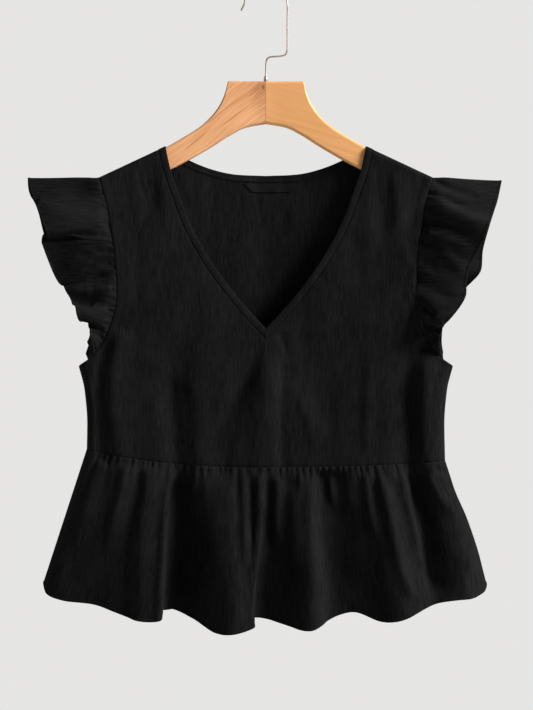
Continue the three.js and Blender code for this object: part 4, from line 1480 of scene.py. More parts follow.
    def build(self, finishes: Finishes, hangs_on: list[str]) -> None:
        """Make and dress the bodice.

        Args:
            finishes: the finishes to use.
            hangs_on: the pieces that carry it; not used.
        """
        stitches = self.topstitching()
        dress(stitches, finishes.thread)
        for side, node in ((FRONT, "front_bodice"), (BACK, "back_bodice")):
            wall = self.panel(side)
            piece = wall.raise_piece(node + "_cloth")
            dress(piece, finishes.cloth, (node,))
            LOG.info("%s: %.4f square metres", piece.name, wall.area())
            round(wall.area(), 4)


@dataclass
class NeckBands:
    """The folded bands around the neckline.

    Args:
        thickness: of a folded band, in mm.
        rows: rows along half the neckline.
        crown: how far its middle stands up, in mm.
        press: depth of the groove that its stitches press, in mm.
        pressed: place of the groove across the band, from its free edge at 0 to the bodice at 1.
        stitched: place of the stitches across the band.
        mitre: half the gap between the front bands where they meet, in mm.
    """

    thickness: float = 1.5
    rows: int = 150
    crown: float = 0.3
    press: float = 0.25
    pressed: float = 0.82
    stitched: float = 0.86
    mitre: float = 0.08

    def band(self, side: Side, hands: tuple[Hand, ...]) -> tuple[Wall, list[tuple[Points, Points]]]:
        """Return the wall of one band, and the lines of its stitches.

        Args:
            side: the front or the back.
            hands: the halves that it covers.

        Returns:
            The wall, and for each half a line of points with the outward direction at each.
        """
        run = min(side.neck_run, FORM.armhole.length)
        distance = np.linspace(0, run, self.rows)
        w = np.array([0, 0.03, 0.08, 0.16, 0.3, 0.46, 0.62, 0.76, 0.86, 0.93, 0.97, 1.0])[None]
        edge = FORM.neck_edge(side, 0.0, distance)
        foot = FORM.neck_edge(side, BAND_WIDTH, distance)
        least = self.mitre if len(hands) == 1 else 0.0
        raised = self.crown * np.sin(np.pi * w) - self.press * np.exp(-(((w - self.pressed) / 0.06) ** 2))
        column = int(np.argmin(np.abs(w[0] - self.stitched)))
        halves, runs = [], []
        for hand in hands:
            x = np.maximum(least, mixed(edge[:, :1], foot[:, :1], w))
            z = mixed(edge[:, 1:], foot[:, 1:], w)
            z[0] = FORM.shoulder(x[0])
            place = FORM.bodice(side, hand.value * x, z, raised + 0 * x)
            halves.append(place if hand is Hand.LEFT else place[::-1])
            runs.append(stitch_line(side, hand, place[4:-4, column], self.thickness / 2 - 0.12))
        points = np.vstack([halves[0], *(half[1:] for half in halves[1:])])
        number = np.arange(points.shape[0] * points.shape[1]).reshape(points.shape[:2])
        round_off = np.sqrt(np.maximum(0, 1 - np.abs(2 * w - 1) ** 10)) * 0.9 + 0.1
        thickness = np.broadcast_to(self.thickness * round_off, number.shape)
        bias = 0.7  # the band is cut at a slant of 45 degrees, so both yarns cross it
        length = np.arange(len(points))[:, None] * (run / self.rows) * 1.1 * bias
        width = w * (BAND_WIDTH * bias)
        flat = np.stack([length + width, length - width], axis=-1)
        ends = [number[0]] if hands[0] is Hand.LEFT else []
        ends += [number[-1]] if hands[-1] is Hand.RIGHT else []
        wall = Wall(
            points.reshape(-1, 3),
            grid_quads(number, side.facing is Facing.FRONT),
            thickness.ravel().copy(),
            flat.reshape(-1, 2),
            [(end, np.array([[0.0, 1, 0]])) for end in ends],
        )
        return wall, runs

    def build(self, finishes: Finishes, hangs_on: list[str]) -> None:
        """Make and dress the bands and their stitches.

        Args:
            finishes: the finishes to use.
            hangs_on: the pieces that carry the garment; not used.
        """
        runs, pieces = [], []
        for node, side, hands in (
            ("left_neck_band", FRONT, (Hand.LEFT,)),
            ("right_neck_band", FRONT, (Hand.RIGHT,)),
            ("back_neck_band", BACK, (Hand.LEFT, Hand.RIGHT)),
        ):
            wall, lines = self.band(side, hands)
            piece = wall.raise_piece(node + "_folded")
            # the band finish is the cloth made lighter, as painted light on the band
            dress(piece, finishes.band, (node,))
            runs += lines
            pieces.append((piece, wall.area()))
        stitches = Thread(2.6, 2.0, 0.24).sew("neck_band_stitching", runs)
        dress(stitches, finishes.thread)


def uneven_gathers(seed: int, length: float, run: float, height: float) -> Points:
    """Return gathers for a seam that is not seen in the photograph, ridges and slots by turns.

    Args:
        seed: fixes their unevenness.
        length: of the seam, in mm.
        run: typical length of a gather, in mm.
        height: typical height of a gather, in mm.

    Returns:
        The place along the seam, the length and the height of each gather.
    """
    rng = np.random.default_rng(seed)
    place = np.cumsum(rng.uniform(2.8, 6.0, int(length / 2.8)))
    place = place[place < length]
    runs = run * np.exp(rng.normal(0, 0.6, len(place)))
    sizes = height * rng.uniform(0.5, 1.3, len(place)) * np.where(np.arange(len(place)) % 2, 1, -1)
    return np.stack([place, runs, sizes], axis=-1)


@dataclass
class GatheredCloth:
    """A gathered sheet between a seam and a free hem.

    Args:
        edge: rows of the seam place, and x, y and z of the free edge.
        seam_point: gives points on the seam for seam places.
        seam_axis: gives the direction across the seam for seam places.
        bow: gives how far the sheet bows sideways half way down, in mm, for seam places.
        outward: gives the rough outward direction for seam places.
        relief: gives the creases, in mm, for seam places and points of the sheet.
        gathers: place along the seam, length and height of each gather, in mm.
        seed: fixes the small unevenness.
        columns: columns along the seam.
        rows: rows between those close to the seam and those of the hem.
        gather_lean: how far a gather may lean aside, for each mm down.
        hem: width of the double-folded hem, in mm.
        puff: how far the cloth springs out below the seam, in mm.
        opening: how soon the sheet reaches the depth of its free edge, 1 for evenly and more for sooner.
        quiet_side: width of the strip at each end in which creases and gathers die away, in mm.
    """

    edge: tuple
    seam_point: Callable[[Points], Points]
    seam_axis: Callable[[Points], Points]
    bow: Callable[[Points], Points]
    outward: Callable[[Points], Points]
    relief: Callable[[Points, Points], Points]
    gathers: Points
    seed: int
    columns: int
    rows: int
    gather_lean: float = 0.14
    hem: float = 3.2
    puff: float = 1.6
    opening: float = 1.7
    quiet_side: float = 9.0

    def places(self) -> tuple[Points, Points, Points]:
        """Lay out the smooth sheet in rows from the seam to the free edge.

        Returns:
            Its points, and the seam place and the distance down of each.
        """
        table = np.asarray(self.edge, float)
        free = SmoothPath(table[:, 1:])
        share = np.linspace(0, 1, self.columns)
        to = free.at(share)
        start = free.carried(SmoothPath(table[:, :1]).points, share)[:, 0]
        base = self.seam_point(start)
        length = np.linalg.norm(to - base, axis=1)
        drop = float(np.median(length))
        near = np.array([0, 0.5, 1.2, 2.2, 3.4, 4.8]) / drop
        fold = np.array([self.hem + 0.9, self.hem + 0.3, self.hem, self.hem * 0.8, self.hem * 0.5])
        hem = np.append(fold, [1.0, 0.4, 0])
        middle = np.linspace(6.8 / drop, 1 - (self.hem + 2.2) / drop, self.rows)
        out = np.concatenate([near, middle, 1 - hem / drop])[:, None]
        place = mixed(base[None], to[None], out[..., None])
        place[..., 1] = mixed(base[None, :, 1], to[None, :, 1], 1 - (1 - out) ** self.opening)
        place[..., 0] += self.bow(start)[None] * np.sin(np.pi * out)
        down = out * length[None]
        return place, np.broadcast_to(start, down.shape), down

    def gather_relief(self, along: Points, down: Points) -> Points:
        """Return the height of the gathers.

        Args:
            along: places along the seam, in mm.
            down: distances from the seam, in mm.

        Returns:
            The heights, in mm.
        """
        rng = np.random.default_rng(self.seed)
        total = np.zeros(down.shape)
        for place, run, size in self.gathers:
            lean = rng.uniform(-self.gather_lean, self.gather_lean)
            width = rng.uniform(1.2, 2.0) + 0.09 * down
            rise = smoothstep(down, -1.5, 2.0) * np.exp(-((down / run) ** 1.3))
            aside = (along - place - lean * down) / width
            total += size * rise * (np.exp(-(aside**2)) - 0.5 * np.exp(-((aside / 2) ** 2)))
        return total

    def height(self, place: Points, start: Points, down: Points) -> Points:
        """Work out how far each point stands out of the smooth sheet.

        Args:
            place: the sheet's points, in mm.
            start: their seam places.
            down: their distances from the seam, in mm.

        Returns:
            The heights, in mm.
        """
        along = np.broadcast_to(run_along(place[0]), down.shape)
        height = self.gather_relief(along, down) + self.relief(start, place)
        height += self.puff * smoothstep(down, 0, 14) * (1 - smoothstep(down, 14, 70))
        small = Unevenness(self.seed, 8, 45).at(along, down) * 0.35
        small = small + Unevenness(self.seed + 5, 19, 38).at(along, down)
        height += small * smoothstep(down, 2, 20) * 0.8
        height -= 0.5 * np.exp(-((down / 1.2) ** 2))
        to_edge = down[-1:] - down
        ripple = Unevenness(self.seed + 9, 7, 400).at(along, 0 * down) * np.exp(-((to_edge / 7) ** 2))
        height += 0.4 * ripple
        return height * smoothstep(np.minimum(along, along[:, -1:] - along), 0, self.quiet_side)

    def wall(self) -> tuple[Wall, Points, tuple[Points, Points]]:
        """Return the sheet's wall and hem.

        Returns:
            The wall with a double-folded hem, the points along the hem, and the line of the hem's stitches
            with the outward direction at each of its points.
        """
        place, start, down = self.places()
        normal = unit(np.cross(np.gradient(place, axis=1), np.gradient(place, axis=0)))
        normal *= 1 if (normal * self.outward(start)).sum() > 0 else -1
        place = place + normal * self.height(place, start, down)[..., None]
        to_edge = down[-1:] - down
        thickness = CLOTH * (1 + 1.1 * (1 - smoothstep(to_edge, self.hem - 0.1, self.hem + 0.25)))
        thickness *= 0.55 + 0.45 * np.sqrt(np.clip(to_edge / 0.6, 0, 1))
        number = np.arange(down.size).reshape(down.shape)
        flat = np.stack([np.broadcast_to(run_along(place[-1]), down.shape), -down], axis=-1)
        wall = Wall(
            place.reshape(-1, 3),
            grid_quads(number),
            thickness.ravel(),
            flat.reshape(-1, 2),
            [(number[0], self.seam_axis(start[0]))],
        )
        stitched, lift = -5, 0.66  # the row of the hem's stitches, and how far out of the cloth they lie
        return wall, place[-1], (place[stitched] + normal[stitched] * lift, normal[stitched])


def sew_gathered(
    cloths: list[tuple[str, GatheredCloth, list[str]]], drop: float, stitching: str, finishes: Finishes
) -> None:
    """Make and dress gathered sheets, and sew their hems.

    Args:
        cloths: for each sheet its node, its cloth, and the pieces that it is gathered onto.
        drop: length of a sheet's cut from its seam to its hem, in metres.
        stitching: name of the piece that holds the hems' stitches.
        finishes: the finishes to use.
    """
    runs, sheets = [], []
    for node, cloth, gathered_onto in cloths:
        wall, hem, line = cloth.wall()
        piece = wall.raise_piece(node + "_cloth")
        dress(piece, finishes.cloth, (node,))
        runs.append(line)
        sheets.append((piece, wall.area(), float(run_along(hem)[-1]) * MM, gathered_onto))
    stitches = Thread(2.8, 2.1, 0.22).sew(stitching, runs)
    dress(stitches, finishes.thread)
    for k, (piece, area, width, gathered_onto) in enumerate(sheets):
        LOG.info("%s: hem %.3f m, %.4f square metres", piece.name, width, area)
        size, area = (round(width, 3), drop), round(min(area, width * drop), 4)


@dataclass
class Peplum:
    """The gathered peplum: a front and a back panel with narrow hems.

    Args:
        columns: columns along the waist.
        rows: rows from the waist to the hem.
        side_bow: how far its right side bows outwards, in mm.
        spread: how much sooner than the bodice the panel reaches its side, so that its side edges close.
        corner: distance from the middle from which the panel also faces sideways, in mm.
        drop: length of the cut from the waist to the hem, in metres.
    """

    columns: int = 440
    rows: int = 50
    side_bow: float = 5.0
    spread: float = 1.001
    corner: float = 205.0
    drop: float = 0.195

    def seam(self, side: Side) -> Callable[[Points], Points]:
        """Return the function that gives points on a panel's waist seam.

        Args:
            side: the front or the back.

        Returns:
            The function.
        """

        def point(x: Points) -> Points:
            """Return points that reach just inside the bodice's lower edge.

            Args:
                x: places across at the waist, in mm.

            Returns:
                The points, one (x, y, z) for each place.
            """
            held = np.clip(x * self.spread, -FORM.waist_half, FORM.waist_half)
            z = FORM.waist(held)
            place = FORM.bodice(side, held / FORM.waist_half * FORM.side.at(z), z)
            return place + np.array([0, 0, LAP])

        return point

    def panel(
        self, side: Side, hem: tuple, creases: tuple[Crease, ...], gathers: Points, seed: int
    ) -> GatheredCloth:
        """Return one gathered panel.

        Args:
            side: the front or the back.
            hem: the rows of its hem.
            creases: its folds.
            gathers: place along the seam, length and height of each gather, in mm.
            seed: fixes its small unevenness.

        Returns:
            The panel's cloth.
        """

        def outward(start: Points) -> Points:
            """Return the rough outward direction along the panel, turned aside at its corners."""
            aside = np.where(np.abs(start) > self.corner, 0.25 * np.sign(start), 0.0)
            return np.stack([aside, side.facing.value + 0 * start, 0 * start], axis=-1)

        return GatheredCloth(
            edge=hem,
            seam_point=self.seam(side),
            seam_axis=lambda start: np.array([[0.0, 0, 1]]),
            bow=lambda start: self.side_bow * np.maximum(0, start / FORM.waist_half) ** 6,
            outward=outward,
            relief=lambda start, place: relief_of(creases, place[..., 0], place[..., 2]),
            gathers=gathers,
            seed=seed,
            columns=self.columns,
            rows=self.rows,
            puff=0.2,
        )

    def build(self, finishes: Finishes) -> None:
        """Make and dress both panels and their hem stitches.

        Args:
            finishes: the finishes to use.
        """
        shown = np.array(FRONT_GATHERS, float) + np.array([FORM.waist_half, 0, 0])
        hidden = uneven_gathers(41, 431.0, 14.0, 2.2)
        front = self.panel(FRONT, FRONT_HEM, FRONT_PEPLUM_CREASES, shown, 21)
        back = self.panel(BACK, BACK_HEM, BACK_PEPLUM_CREASES, hidden, 22)
        cloths = [
            ("front_peplum", front, ["front_bodice_cloth"]),
            ("back_peplum", back, ["back_bodice_cloth"]),
        ]
        sew_gathered(cloths, self.drop, "peplum_hem_stitching", finishes)


@dataclass
class SleeveRuffles:
    """The two gathered ruffles around the armholes.

    Args:
        columns: columns along the armhole.
        rows: rows from the armhole to the free edge.
        drop: greatest length of the cut from the armhole to the free edge, in metres.
        hidden_shift: how far down the hidden folds lie on the right, and up on the left, in mm.
    """

    columns: int = 380
    rows: int = 42
    drop: float = 0.1
    hidden_shift: float = 5.0

    def ruffle(
        self, hand: Hand, front: tuple, back: tuple, creases: tuple[Crease, ...], seed: int
    ) -> GatheredCloth:
        """Return one ruffle, from the front of its armhole over the shoulder tip to the back.

        Args:
            hand: its side.
            front: the rows of its free edge in front.
            back: the rows of its free edge behind.
            creases: its folds in front.
            seed: fixes its gathers and its small unevenness.

        Returns:
            The ruffle's cloth. Its seam places are shares of the armhole, less than 0 in front.
        """
        sign = hand.value

        def seam_point(share: Points) -> Points:
            """Return points just outside the armhole.

            Args:
                share: seam places.

            Returns:
                The points, one (x, y, z) for each place.
            """
            down = np.abs(share)
            front_edge, back_edge = (FORM.armhole_point(side, hand, down) for side in (FRONT, BACK))
            place = np.where((share < 0)[:, None], front_edge, back_edge)
            return place - LAP * FORM.armhole_outward(hand, down)

        def relief(share: Points, place: Points) -> Points:
            """Return the creases of the front half and of the hidden back half.

            Args:
                share: seam places.
                place: points of the sheet, in mm.

            Returns:
                How far each point stands out, in mm.
            """
            x, z = place[..., 0], place[..., 2]
            before = relief_of(creases, x, z) * smoothstep(-share, 0.0, 0.025)
            behind = relief_of(HIDDEN_RUFFLE_CREASES, np.abs(x), z + self.hidden_shift * sign)
            return before + behind * smoothstep(share, 0.0, 0.06)

        def outward(share: Points) -> Points:
            """Return the rough outward direction along the ruffle."""
            tilt = np.clip(share * 12, -1, 1)
            return np.stack([0.5 * sign + 0 * share, tilt, 0.9 * (1 - np.abs(tilt))], axis=-1)

        return GatheredCloth(
            edge=(*((-share, *at) for share, *at in reversed(front)), *back[1:]),
            seam_point=seam_point,
            seam_axis=lambda share: FORM.armhole_outward(hand, np.abs(share)),
            bow=lambda share: 0 * share,
            outward=outward,
            relief=relief,
            gathers=uneven_gathers(seed, 470.0, 8.0, 1.5),
            seed=seed,
            columns=self.columns,
            rows=self.rows,
            gather_lean=0.5,
            hem=2.6,
            puff=0.8,
            opening=1.6,
        )

    def build(self, finishes: Finishes) -> None:
        """Make and dress both ruffles and their hem stitches.

        Args:
            finishes: the finishes to use.
        """
        left = self.ruffle(Hand.LEFT, LEFT_RUFFLE_FRONT, LEFT_RUFFLE_BACK, LEFT_RUFFLE_CREASES, 31)
        right = self.ruffle(Hand.RIGHT, RIGHT_RUFFLE_FRONT, RIGHT_RUFFLE_BACK, RIGHT_RUFFLE_CREASES, 32)
        bodice = ["front_bodice_cloth", "back_bodice_cloth"]
        cloths = [("left_sleeve_ruffle", left, bodice), ("right_sleeve_ruffle", right, bodice)]
        sew_gathered(cloths, self.drop, "ruffle_hem_stitching", finishes)


@dataclass
class NeckLabel:
    """The bare satin tab inside the back neck.

    Args:
        top: height of its upper edge, and the places of that edge's left and right ends, in mm.
        bottom: the same of its lower edge.
        thickness: of the tape, in mm.
        gap: between the tape and the cloth behind it, in mm.
        curl: how far its lower edge curls away from the cloth, in mm.
        cut: width and length of the tape's cut, in metres; not used.
    """

    top: tuple = (-240.6, -27, 44)
    bottom: tuple = (-251, -17, 30)
    thickness: float = 0.35
    gap: float = 0.5
    curl: float = 0.5
    cut: tuple = (0.071, 0.0104)

    def build(self, finishes: Finishes) -> None:
        """Make and dress the tab and the stitches at its ends.

        Args:
            finishes: the finishes to use.
        """
        across = np.linspace(0, 1, 60)[None]
        rows = np.linspace(0, 1, 14)[:, None]
        height, left, right = (mixed(upper, lower, rows) for upper, lower in zip(self.top, self.bottom))
        x = mixed(left, right, across)
        z = np.broadcast_to(height, x.shape)
        place = FORM.bodice(BACK, x, z)
        curl = self.curl * (np.sin(np.pi * across) + 0.5 * np.sin(across * 13)) * rows
        place[..., 1] -= CLOTH / 2 + self.thickness / 2 + self.gap + curl
        number = np.arange(x.size).reshape(x.shape)
        wall = Wall(
            place.reshape(-1, 3),
            grid_quads(number),
            np.full(x.size, self.thickness),
            np.stack([x.ravel(), z.ravel()], axis=-1),
        )
        piece = wall.raise_piece("neck_label_tape")
        dress(piece, finishes.satin, ("neck_label",))
        toward = np.array([0.0, -1, 0])
        lines = [place[:, column] + toward * 0.2 for column in (2, -3)]
        runs = [(line, np.broadcast_to(toward, line.shape)) for line in lines]
        stitches = Thread(2.0, 1.5, 0.2).sew("neck_label_stitching", runs)
        dress(stitches, finishes.thread)


# An arm of the hanger: distance from the joint, and height of its upper and of its lower edge there
ARM_TOP = (
    (0, -118.4), (24, -118.4), (45, -118.4), (48, -129), (52, -140.4), (62, -156.9), (78.5, -173.2),
    (96, -184.6), (120, -198.7), (150, -214), (178, -227.8), (185, -231.8), (190, -238),
)
ARM_BOTTOM = (
    (0, -169.4), (24, -173.8), (45, -184.5), (48, -186.3), (52, -189), (62, -195.6), (78.5, -205.6),
    (96, -215.6), (120, -228), (150, -240.5), (178, -252), (185, -253), (190, -249),
)
# Distances from the joint at which the arm gets a section, closer together where its edges turn
ARM_STATIONS = (
    8, 16, 24, 32, 40, 43.5, 44.6, 45.4, 46.2, 47, 48, 49.5, 51, 53, 55.5, 58.5, 62, 66, 71, 76, 82, 88, 95,
    102, 110, 120, 130, 140, 150, 160, 170, 178, 182, 185, 187.5, 189, 190,
)
SHARP_EDGE = 1.0  # smallest angle between the faces at an edge that is rounded, in radians


def select_in_edit(faces: Callable | None = None, edges: Callable | None = None) -> None:
    """Select the faces or edges of the mesh in edit mode that pass a test, and nothing else.

    Args:
        faces: the test for a face, or None for no faces.
        edges: the test for an edge, or None for no edges.
    """
    bpy.ops.mesh.select_all(action="DESELECT")
    bpy.ops.mesh.select_mode(type="FACE" if faces else "EDGE")
    mesh = bmesh.from_edit_mesh(bpy.context.active_object.data)
    for part, test in ((mesh.faces, faces), (mesh.edges, edges)):
        for item in part if test else ():
            if test(item):
                item.select = True
    mesh.select_flush_mode()
    bmesh.update_edit_mesh(bpy.context.active_object.data)


def finished(piece: bpy.types.Object, angle: float = 40.0) -> bpy.types.Object:
    """Leave edit mode and make the piece smooth within an angle.

    Args:
        piece: the piece, in edit mode.
        angle: the greatest angle between faces that is shaded smooth, in degrees.

    Returns:
        The piece, out of edit mode.
    """
    bpy.ops.mesh.select_all(action="SELECT")
    bpy.ops.mesh.normals_make_consistent(inside=False)
    bpy.ops.object.mode_set(mode="OBJECT")
    bpy.ops.object.shade_smooth_by_angle(angle=math.radians(angle))
    bpy.ops.object.select_all(action="DESELECT")
    return piece


@dataclass
class HangerArm:
    """One wooden arm, drawn out from the glued joint to the tip.

    Args:
        hand: the side that it reaches to.
        thickness: from its front to its back, in mm.
        rounding: radius of its long edges, in mm.
        tip_rounding: radius of the edges of its tip, in mm.
        joint: distance of its flat end from the middle, in mm.
    """

    hand: Hand
    thickness: float = 12.0
    rounding: float = 3.0
    tip_rounding: float = 2.4
    joint: float = 0.02

    def section(self, x: float) -> tuple[Vector, float]:
        """Work out the arm's section at a distance from the joint.

        Args:
            x: the distance, in mm.

        Returns:
            The section's middle and its height, in metres.
        """
        top, bottom = float(SmoothTable(ARM_TOP).at(x)), float(SmoothTable(ARM_BOTTOM).at(x))
        middle = Vector((self.hand.value * x, float(FORM.swept(x)), (top + bottom) / 2)) * MM
        return middle, (top - bottom) * MM

    def build(self, name: str) -> bpy.types.Object:
        """Draw out the arm and round its edges.

        Args:
            name: the piece's name.

        Returns:
            The arm.
        """
        middle, height = self.section(self.joint)
        bpy.ops.mesh.primitive_plane_add(size=1.0, location=middle, rotation=(0.0, math.radians(90), 0.0))
        arm = bpy.context.active_object
        arm.name = name
        bpy.ops.object.transform_apply(location=True, rotation=True, scale=True)
        bpy.ops.object.mode_set(mode="EDIT")
        bpy.ops.mesh.select_all(action="SELECT")
        bpy.ops.transform.resize(value=(1.0, self.thickness * MM, height), center_override=middle)
        for station in ARM_STATIONS:
            onward, next_height = self.section(station)
            bpy.ops.mesh.extrude_region_move(TRANSFORM_OT_translate={"value": onward - middle})
            bpy.ops.transform.resize(value=(1.0, 1.0, next_height / height), center_override=onward)
            middle, height = onward, next_height
        least = 0.1 * MM
        end = abs(middle.x) - least
        select_in_edit(edges=lambda e: abs(e.verts[0].co.x - e.verts[1].co.x) > least)
        bpy.ops.mesh.bevel(offset=self.rounding * MM, segments=6, affect="EDGES")

        def around_tip(edge: bmesh.types.BMEdge) -> bool:
            """Return whether an edge runs around the flat of the tip."""
            at_end = all(abs(corner.co.x) > end for corner in edge.verts)
            return at_end and len(edge.link_faces) == 2 and edge.calc_face_angle(0.0) > SHARP_EDGE

        select_in_edit(edges=around_tip)
        bpy.ops.mesh.bevel(offset=self.tip_rounding * MM, segments=4, affect="EDGES")
        finished(arm)
        arm.select_set(True)
        bpy.context.view_layer.objects.active = arm
        bpy.ops.object.modifier_add(type="WEIGHTED_NORMAL")
        arm.modifiers[-1].keep_sharp = True
        bpy.ops.object.modifier_apply(modifier=arm.modifiers[-1].name)
        bpy.ops.object.select_all(action="DESELECT")
        return arm


@dataclass
class WireHook:
    """The wire hook: a stem with a crank, an arch over the rod, and a tip turned outwards.

    Args:
        radius: of the wire, in mm.
        arch: radius of the arch, in mm.
        stem: places (x, z) along the stem from the wood up to the arch, in mm.
        tip: places (x, z) from the arch to the wire's end, in mm.
    """

    radius: float = 1.0
    arch: float = 26.0
    stem: tuple = (
        (0, -118.1), (0.1, -106), (0.5, -95.5), (2.0, -90.6), (6.2, -88.6), (12, -88.1), (19.2, -87.4),
        (23.8, -85.6), (25.7, -81), (26, -74), (26, -48),
    )
    tip: tuple = ((-27.2, -27.5), (-29.9, -33.2))

    def build(self, name: str) -> bpy.types.Object:
        """Bend the wire.

        Args:
            name: the piece's name.

        Returns:
            The hook, as a mesh.
        """
        centre = self.radius - self.arch
        turns = [k * math.pi / 8 for k in range(9)]
        over = [(self.arch * math.cos(a), centre + self.arch * math.sin(a)) for a in turns]
        route = SmoothPath((*self.stem, *over, *self.tip), 10).points
        data = bpy.data.curves.new(name, "CURVE")
        data.dimensions, data.bevel_depth, data.bevel_resolution = "3D", self.radius * MM, 4
        data.use_fill_caps = True
        spline = data.splines.new("POLY")
        spline.points.add(len(route) - 1)
        for point, (x, z) in zip(spline.points, route):
            point.co = (x * MM, 0.0, z * MM, 1.0)
        for back, size in enumerate((0.35, 0.72, 0.93)):
            spline.points[-1 - back].radius = size
        hook = bpy.data.objects.new(name, data)
        bpy.context.scene.collection.objects.link(hook)
        bpy.ops.object.select_all(action="DESELECT")
        hook.select_set(True)
        bpy.context.view_layer.objects.active = hook
        bpy.ops.object.convert(target="MESH")
        hook = bpy.context.active_object
        bpy.ops.object.mode_set(mode="EDIT")
        return finished(hook)


@dataclass
class HookCollar:
    """The small turned collar where the hook enters the wood.

    Args:
        radius: of its foot, in mm.
        foot: height of its lower face, in mm.
        height: of the straight part above the foot, in mm.
        steps: for each step upwards, how far it goes in from the foot's radius and how far it rises, in mm.
        rounding: width of the rounding on its edges, in mm.
    """

    radius: float = 2.5
    foot: float = -118.1
    height: float = 4.4
    steps: tuple = ((0.35, 0.5), (0.5, 0.5), (-0.3, 0.9), (0.35, 0.4))
    rounding: float = 0.12

    def build(self, name: str) -> bpy.types.Object:
        """Turn the collar.

        Args:
            name: the piece's name.

        Returns:
            The collar.
        """
        middle = (0.0, 0.0, (self.foot + self.height / 2) * MM)
        bpy.ops.mesh.primitive_cylinder_add(
            vertices=48, radius=self.radius * MM, depth=self.height * MM, location=middle
        )
        collar = bpy.context.active_object
        collar.name = name
        bpy.ops.object.transform_apply(location=True, rotation=True, scale=True)
        bpy.ops.object.mode_set(mode="EDIT")
        height = self.foot + self.height
        for inward, rise in self.steps:
            top = (height - 0.05) * MM
            select_in_edit(faces=lambda f: f.normal.z > 0.9 and f.calc_center_median().z > top)
            wide = 1 - inward / self.radius
            bpy.ops.mesh.extrude_region_move(TRANSFORM_OT_translate={"value": (0.0, 0.0, 0.0)})
            bpy.ops.transform.resize(value=(wide, wide, 1.0), center_override=(0.0, 0.0, height * MM))
            bpy.ops.mesh.extrude_region_move(TRANSFORM_OT_translate={"value": (0.0, 0.0, rise * MM)})
            height += rise
        select_in_edit(edges=lambda e: len(e.link_faces) == 2 and e.calc_face_angle(0.0) > SHARP_EDGE)
        bpy.ops.mesh.bevel(offset=self.rounding * MM, segments=2, affect="EDGES")
        return finished(collar)


@dataclass
class Hanger:
    """The wooden hanger and its wire hook."""

    def build(self, finishes: Finishes) -> list[str]:
        """Make and dress the hanger.

        Args:
            finishes: the finishes to use.

        Returns:
            The names of the arms that carry the garment.
        """
        arms = []
        for hand, node, finish, slot in (
            (Hand.LEFT, "left_hanger_arm", finishes.left_wood, "left_wood"),
            (Hand.RIGHT, "right_hanger_arm", finishes.right_wood, "right_wood"),
        ):
            arm = HangerArm(hand).build(node + "_wood")
            dress(arm, finish, (node,))
            arms.append(arm.name)
        dress(WireHook().build("hanger_hook_wire"), finishes.steel, ("hanger_hook",))
        dress(HookCollar().build("hook_collar_turned"), finishes.steel, ("hook_collar",))
        return arms


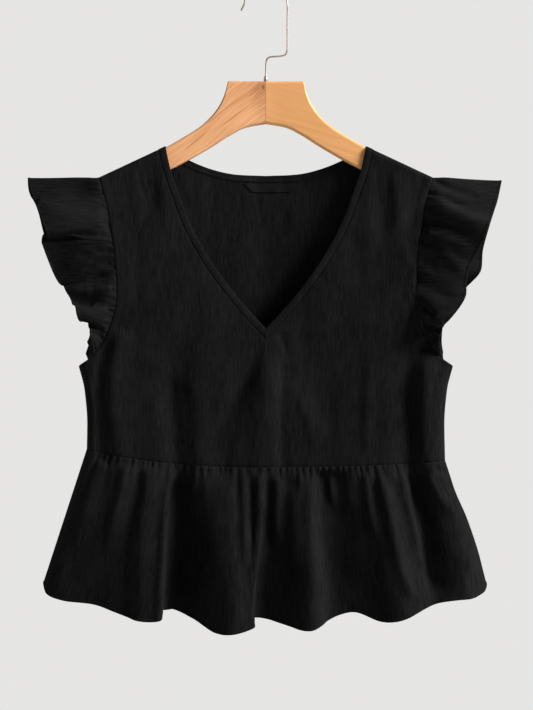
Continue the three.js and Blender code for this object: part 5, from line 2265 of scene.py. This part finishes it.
@dataclass
class Studio:
    """The camera, the floor and plain soft light.

    Args:
        eye: the camera's place, in metres.
        lens: its focal length, in mm, with a film 36 mm wide.
        floor_height: height of the floor, in metres.
        floor_size: width and length of the floor, in metres.
        ambient: strength of the light from all around.
        aim: the place that all lamps face, in metres.
    """

    eye: tuple = (0.00084, -2.612, -0.4478)
    lens: float = 109.9
    floor_height: float = -1.8
    floor_size: float = 7.0
    ambient: float = 0.12
    aim: tuple = (0.0, 0.0, -0.42)

    def camera(self) -> None:
        """Set the camera level in front of the garment, as the photograph was taken."""
        data = bpy.data.cameras.new("camera")
        data.lens, data.sensor_width, data.sensor_height, data.sensor_fit = self.lens, 36.0, 36.0, "AUTO"
        data.clip_end = 40.0
        camera = bpy.data.objects.new("camera", data)
        camera.location = self.eye
        camera.rotation_euler = (math.radians(90), 0.0, 0.0)
        bpy.context.scene.collection.objects.link(camera)
        bpy.context.scene.camera = camera

    def lamp(
        self, name: str, place: tuple, size: float, power: float, tint: tuple = (1.0, 1.0, 1.0)
    ) -> None:
        """Add a soft square lamp that faces the garment's middle.

        Args:
            name: the lamp's name.
            place: where it hangs, in metres.
            size: its width, in metres.
            power: in watts.
            tint: its colour.
        """
        data = bpy.data.lights.new(name, "AREA")
        data.shape, data.size, data.energy, data.color = "SQUARE", size, power, tint
        lamp = bpy.data.objects.new(name, data)
        lamp.location = place
        ray = Vector(self.aim) - Vector(place)
        lamp.rotation_euler = ray.to_track_quat("-Z", "Y").to_euler()
        bpy.context.scene.collection.objects.link(lamp)

    def world(self) -> None:
        """Fill the room with even light, and show a pale wall behind."""
        world = bpy.data.worlds.new("pale_room")
        world.use_nodes = True
        tree = world.node_tree
        seen = tree.nodes["Background"]
        seen.inputs["Color"].default_value = (0.79, 0.785, 0.775, 1.0)
        lighting = tree.nodes.new("ShaderNodeBackground")
        lighting.inputs["Color"].default_value = (0.985, 0.99, 1.0, 1.0)
        lighting.inputs["Strength"].default_value = self.ambient
        rays, blend = tree.nodes.new("ShaderNodeLightPath"), tree.nodes.new("ShaderNodeMixShader")
        tree.links.new(rays.outputs["Is Camera Ray"], blend.inputs["Fac"])
        tree.links.new(lighting.outputs[0], blend.inputs[1])
        tree.links.new(seen.outputs[0], blend.inputs[2])
        tree.links.new(blend.outputs[0], tree.nodes["World Output"].inputs["Surface"])
        bpy.context.scene.world = world

    def build(self) -> None:
        """Set up the world, the lamps and the floor."""
        self.world()
        bpy.context.scene.view_settings.view_transform = "Standard"
        self.lamp("key", (2.4, -0.98, 1.08), 1.0, 205.0, (1.0, 0.99, 0.98))
        self.lamp("fill", (-1.6, -2.2, 0.0), 1.6, 2.0)
        self.lamp("rim", (-2.6, -0.2, 0.1), 1.4, 14.0)
        bpy.ops.object.select_all(action="DESELECT")
        bpy.ops.mesh.primitive_plane_add(size=self.floor_size, location=(0.0, 0.0, self.floor_height))
        floor = bpy.context.active_object
        floor.name = "floor"
        bpy.ops.object.transform_apply(location=True, rotation=True, scale=True)
        g = Graph("pale_floor")
        mottle = g.noise(g.in_space(), 2.0, 3.0)
        floor.data.materials.append(
            g.surface(Base_Color=g.blend(mottle, (0.76, 0.755, 0.745), (0.82, 0.815, 0.80)), Roughness=0.8)
        )


def main() -> None:
    """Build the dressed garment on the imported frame."""
    logging.basicConfig(level=logging.INFO, format="%(name)s: %(message)s", stream=sys.stdout)
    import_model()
    bpy.ops.object.select_all(action="DESELECT")
    studio = Studio()
    studio.camera()
    studio.build()
    finishes = Finishes()
    arms = Hanger().build(finishes)
    Bodice().build(finishes, arms)
    NeckBands().build(finishes, arms)
    Peplum().build(finishes)
    SleeveRuffles().build(finishes)
    NeckLabel().build(finishes)


if __name__ == "__main__":
    main()
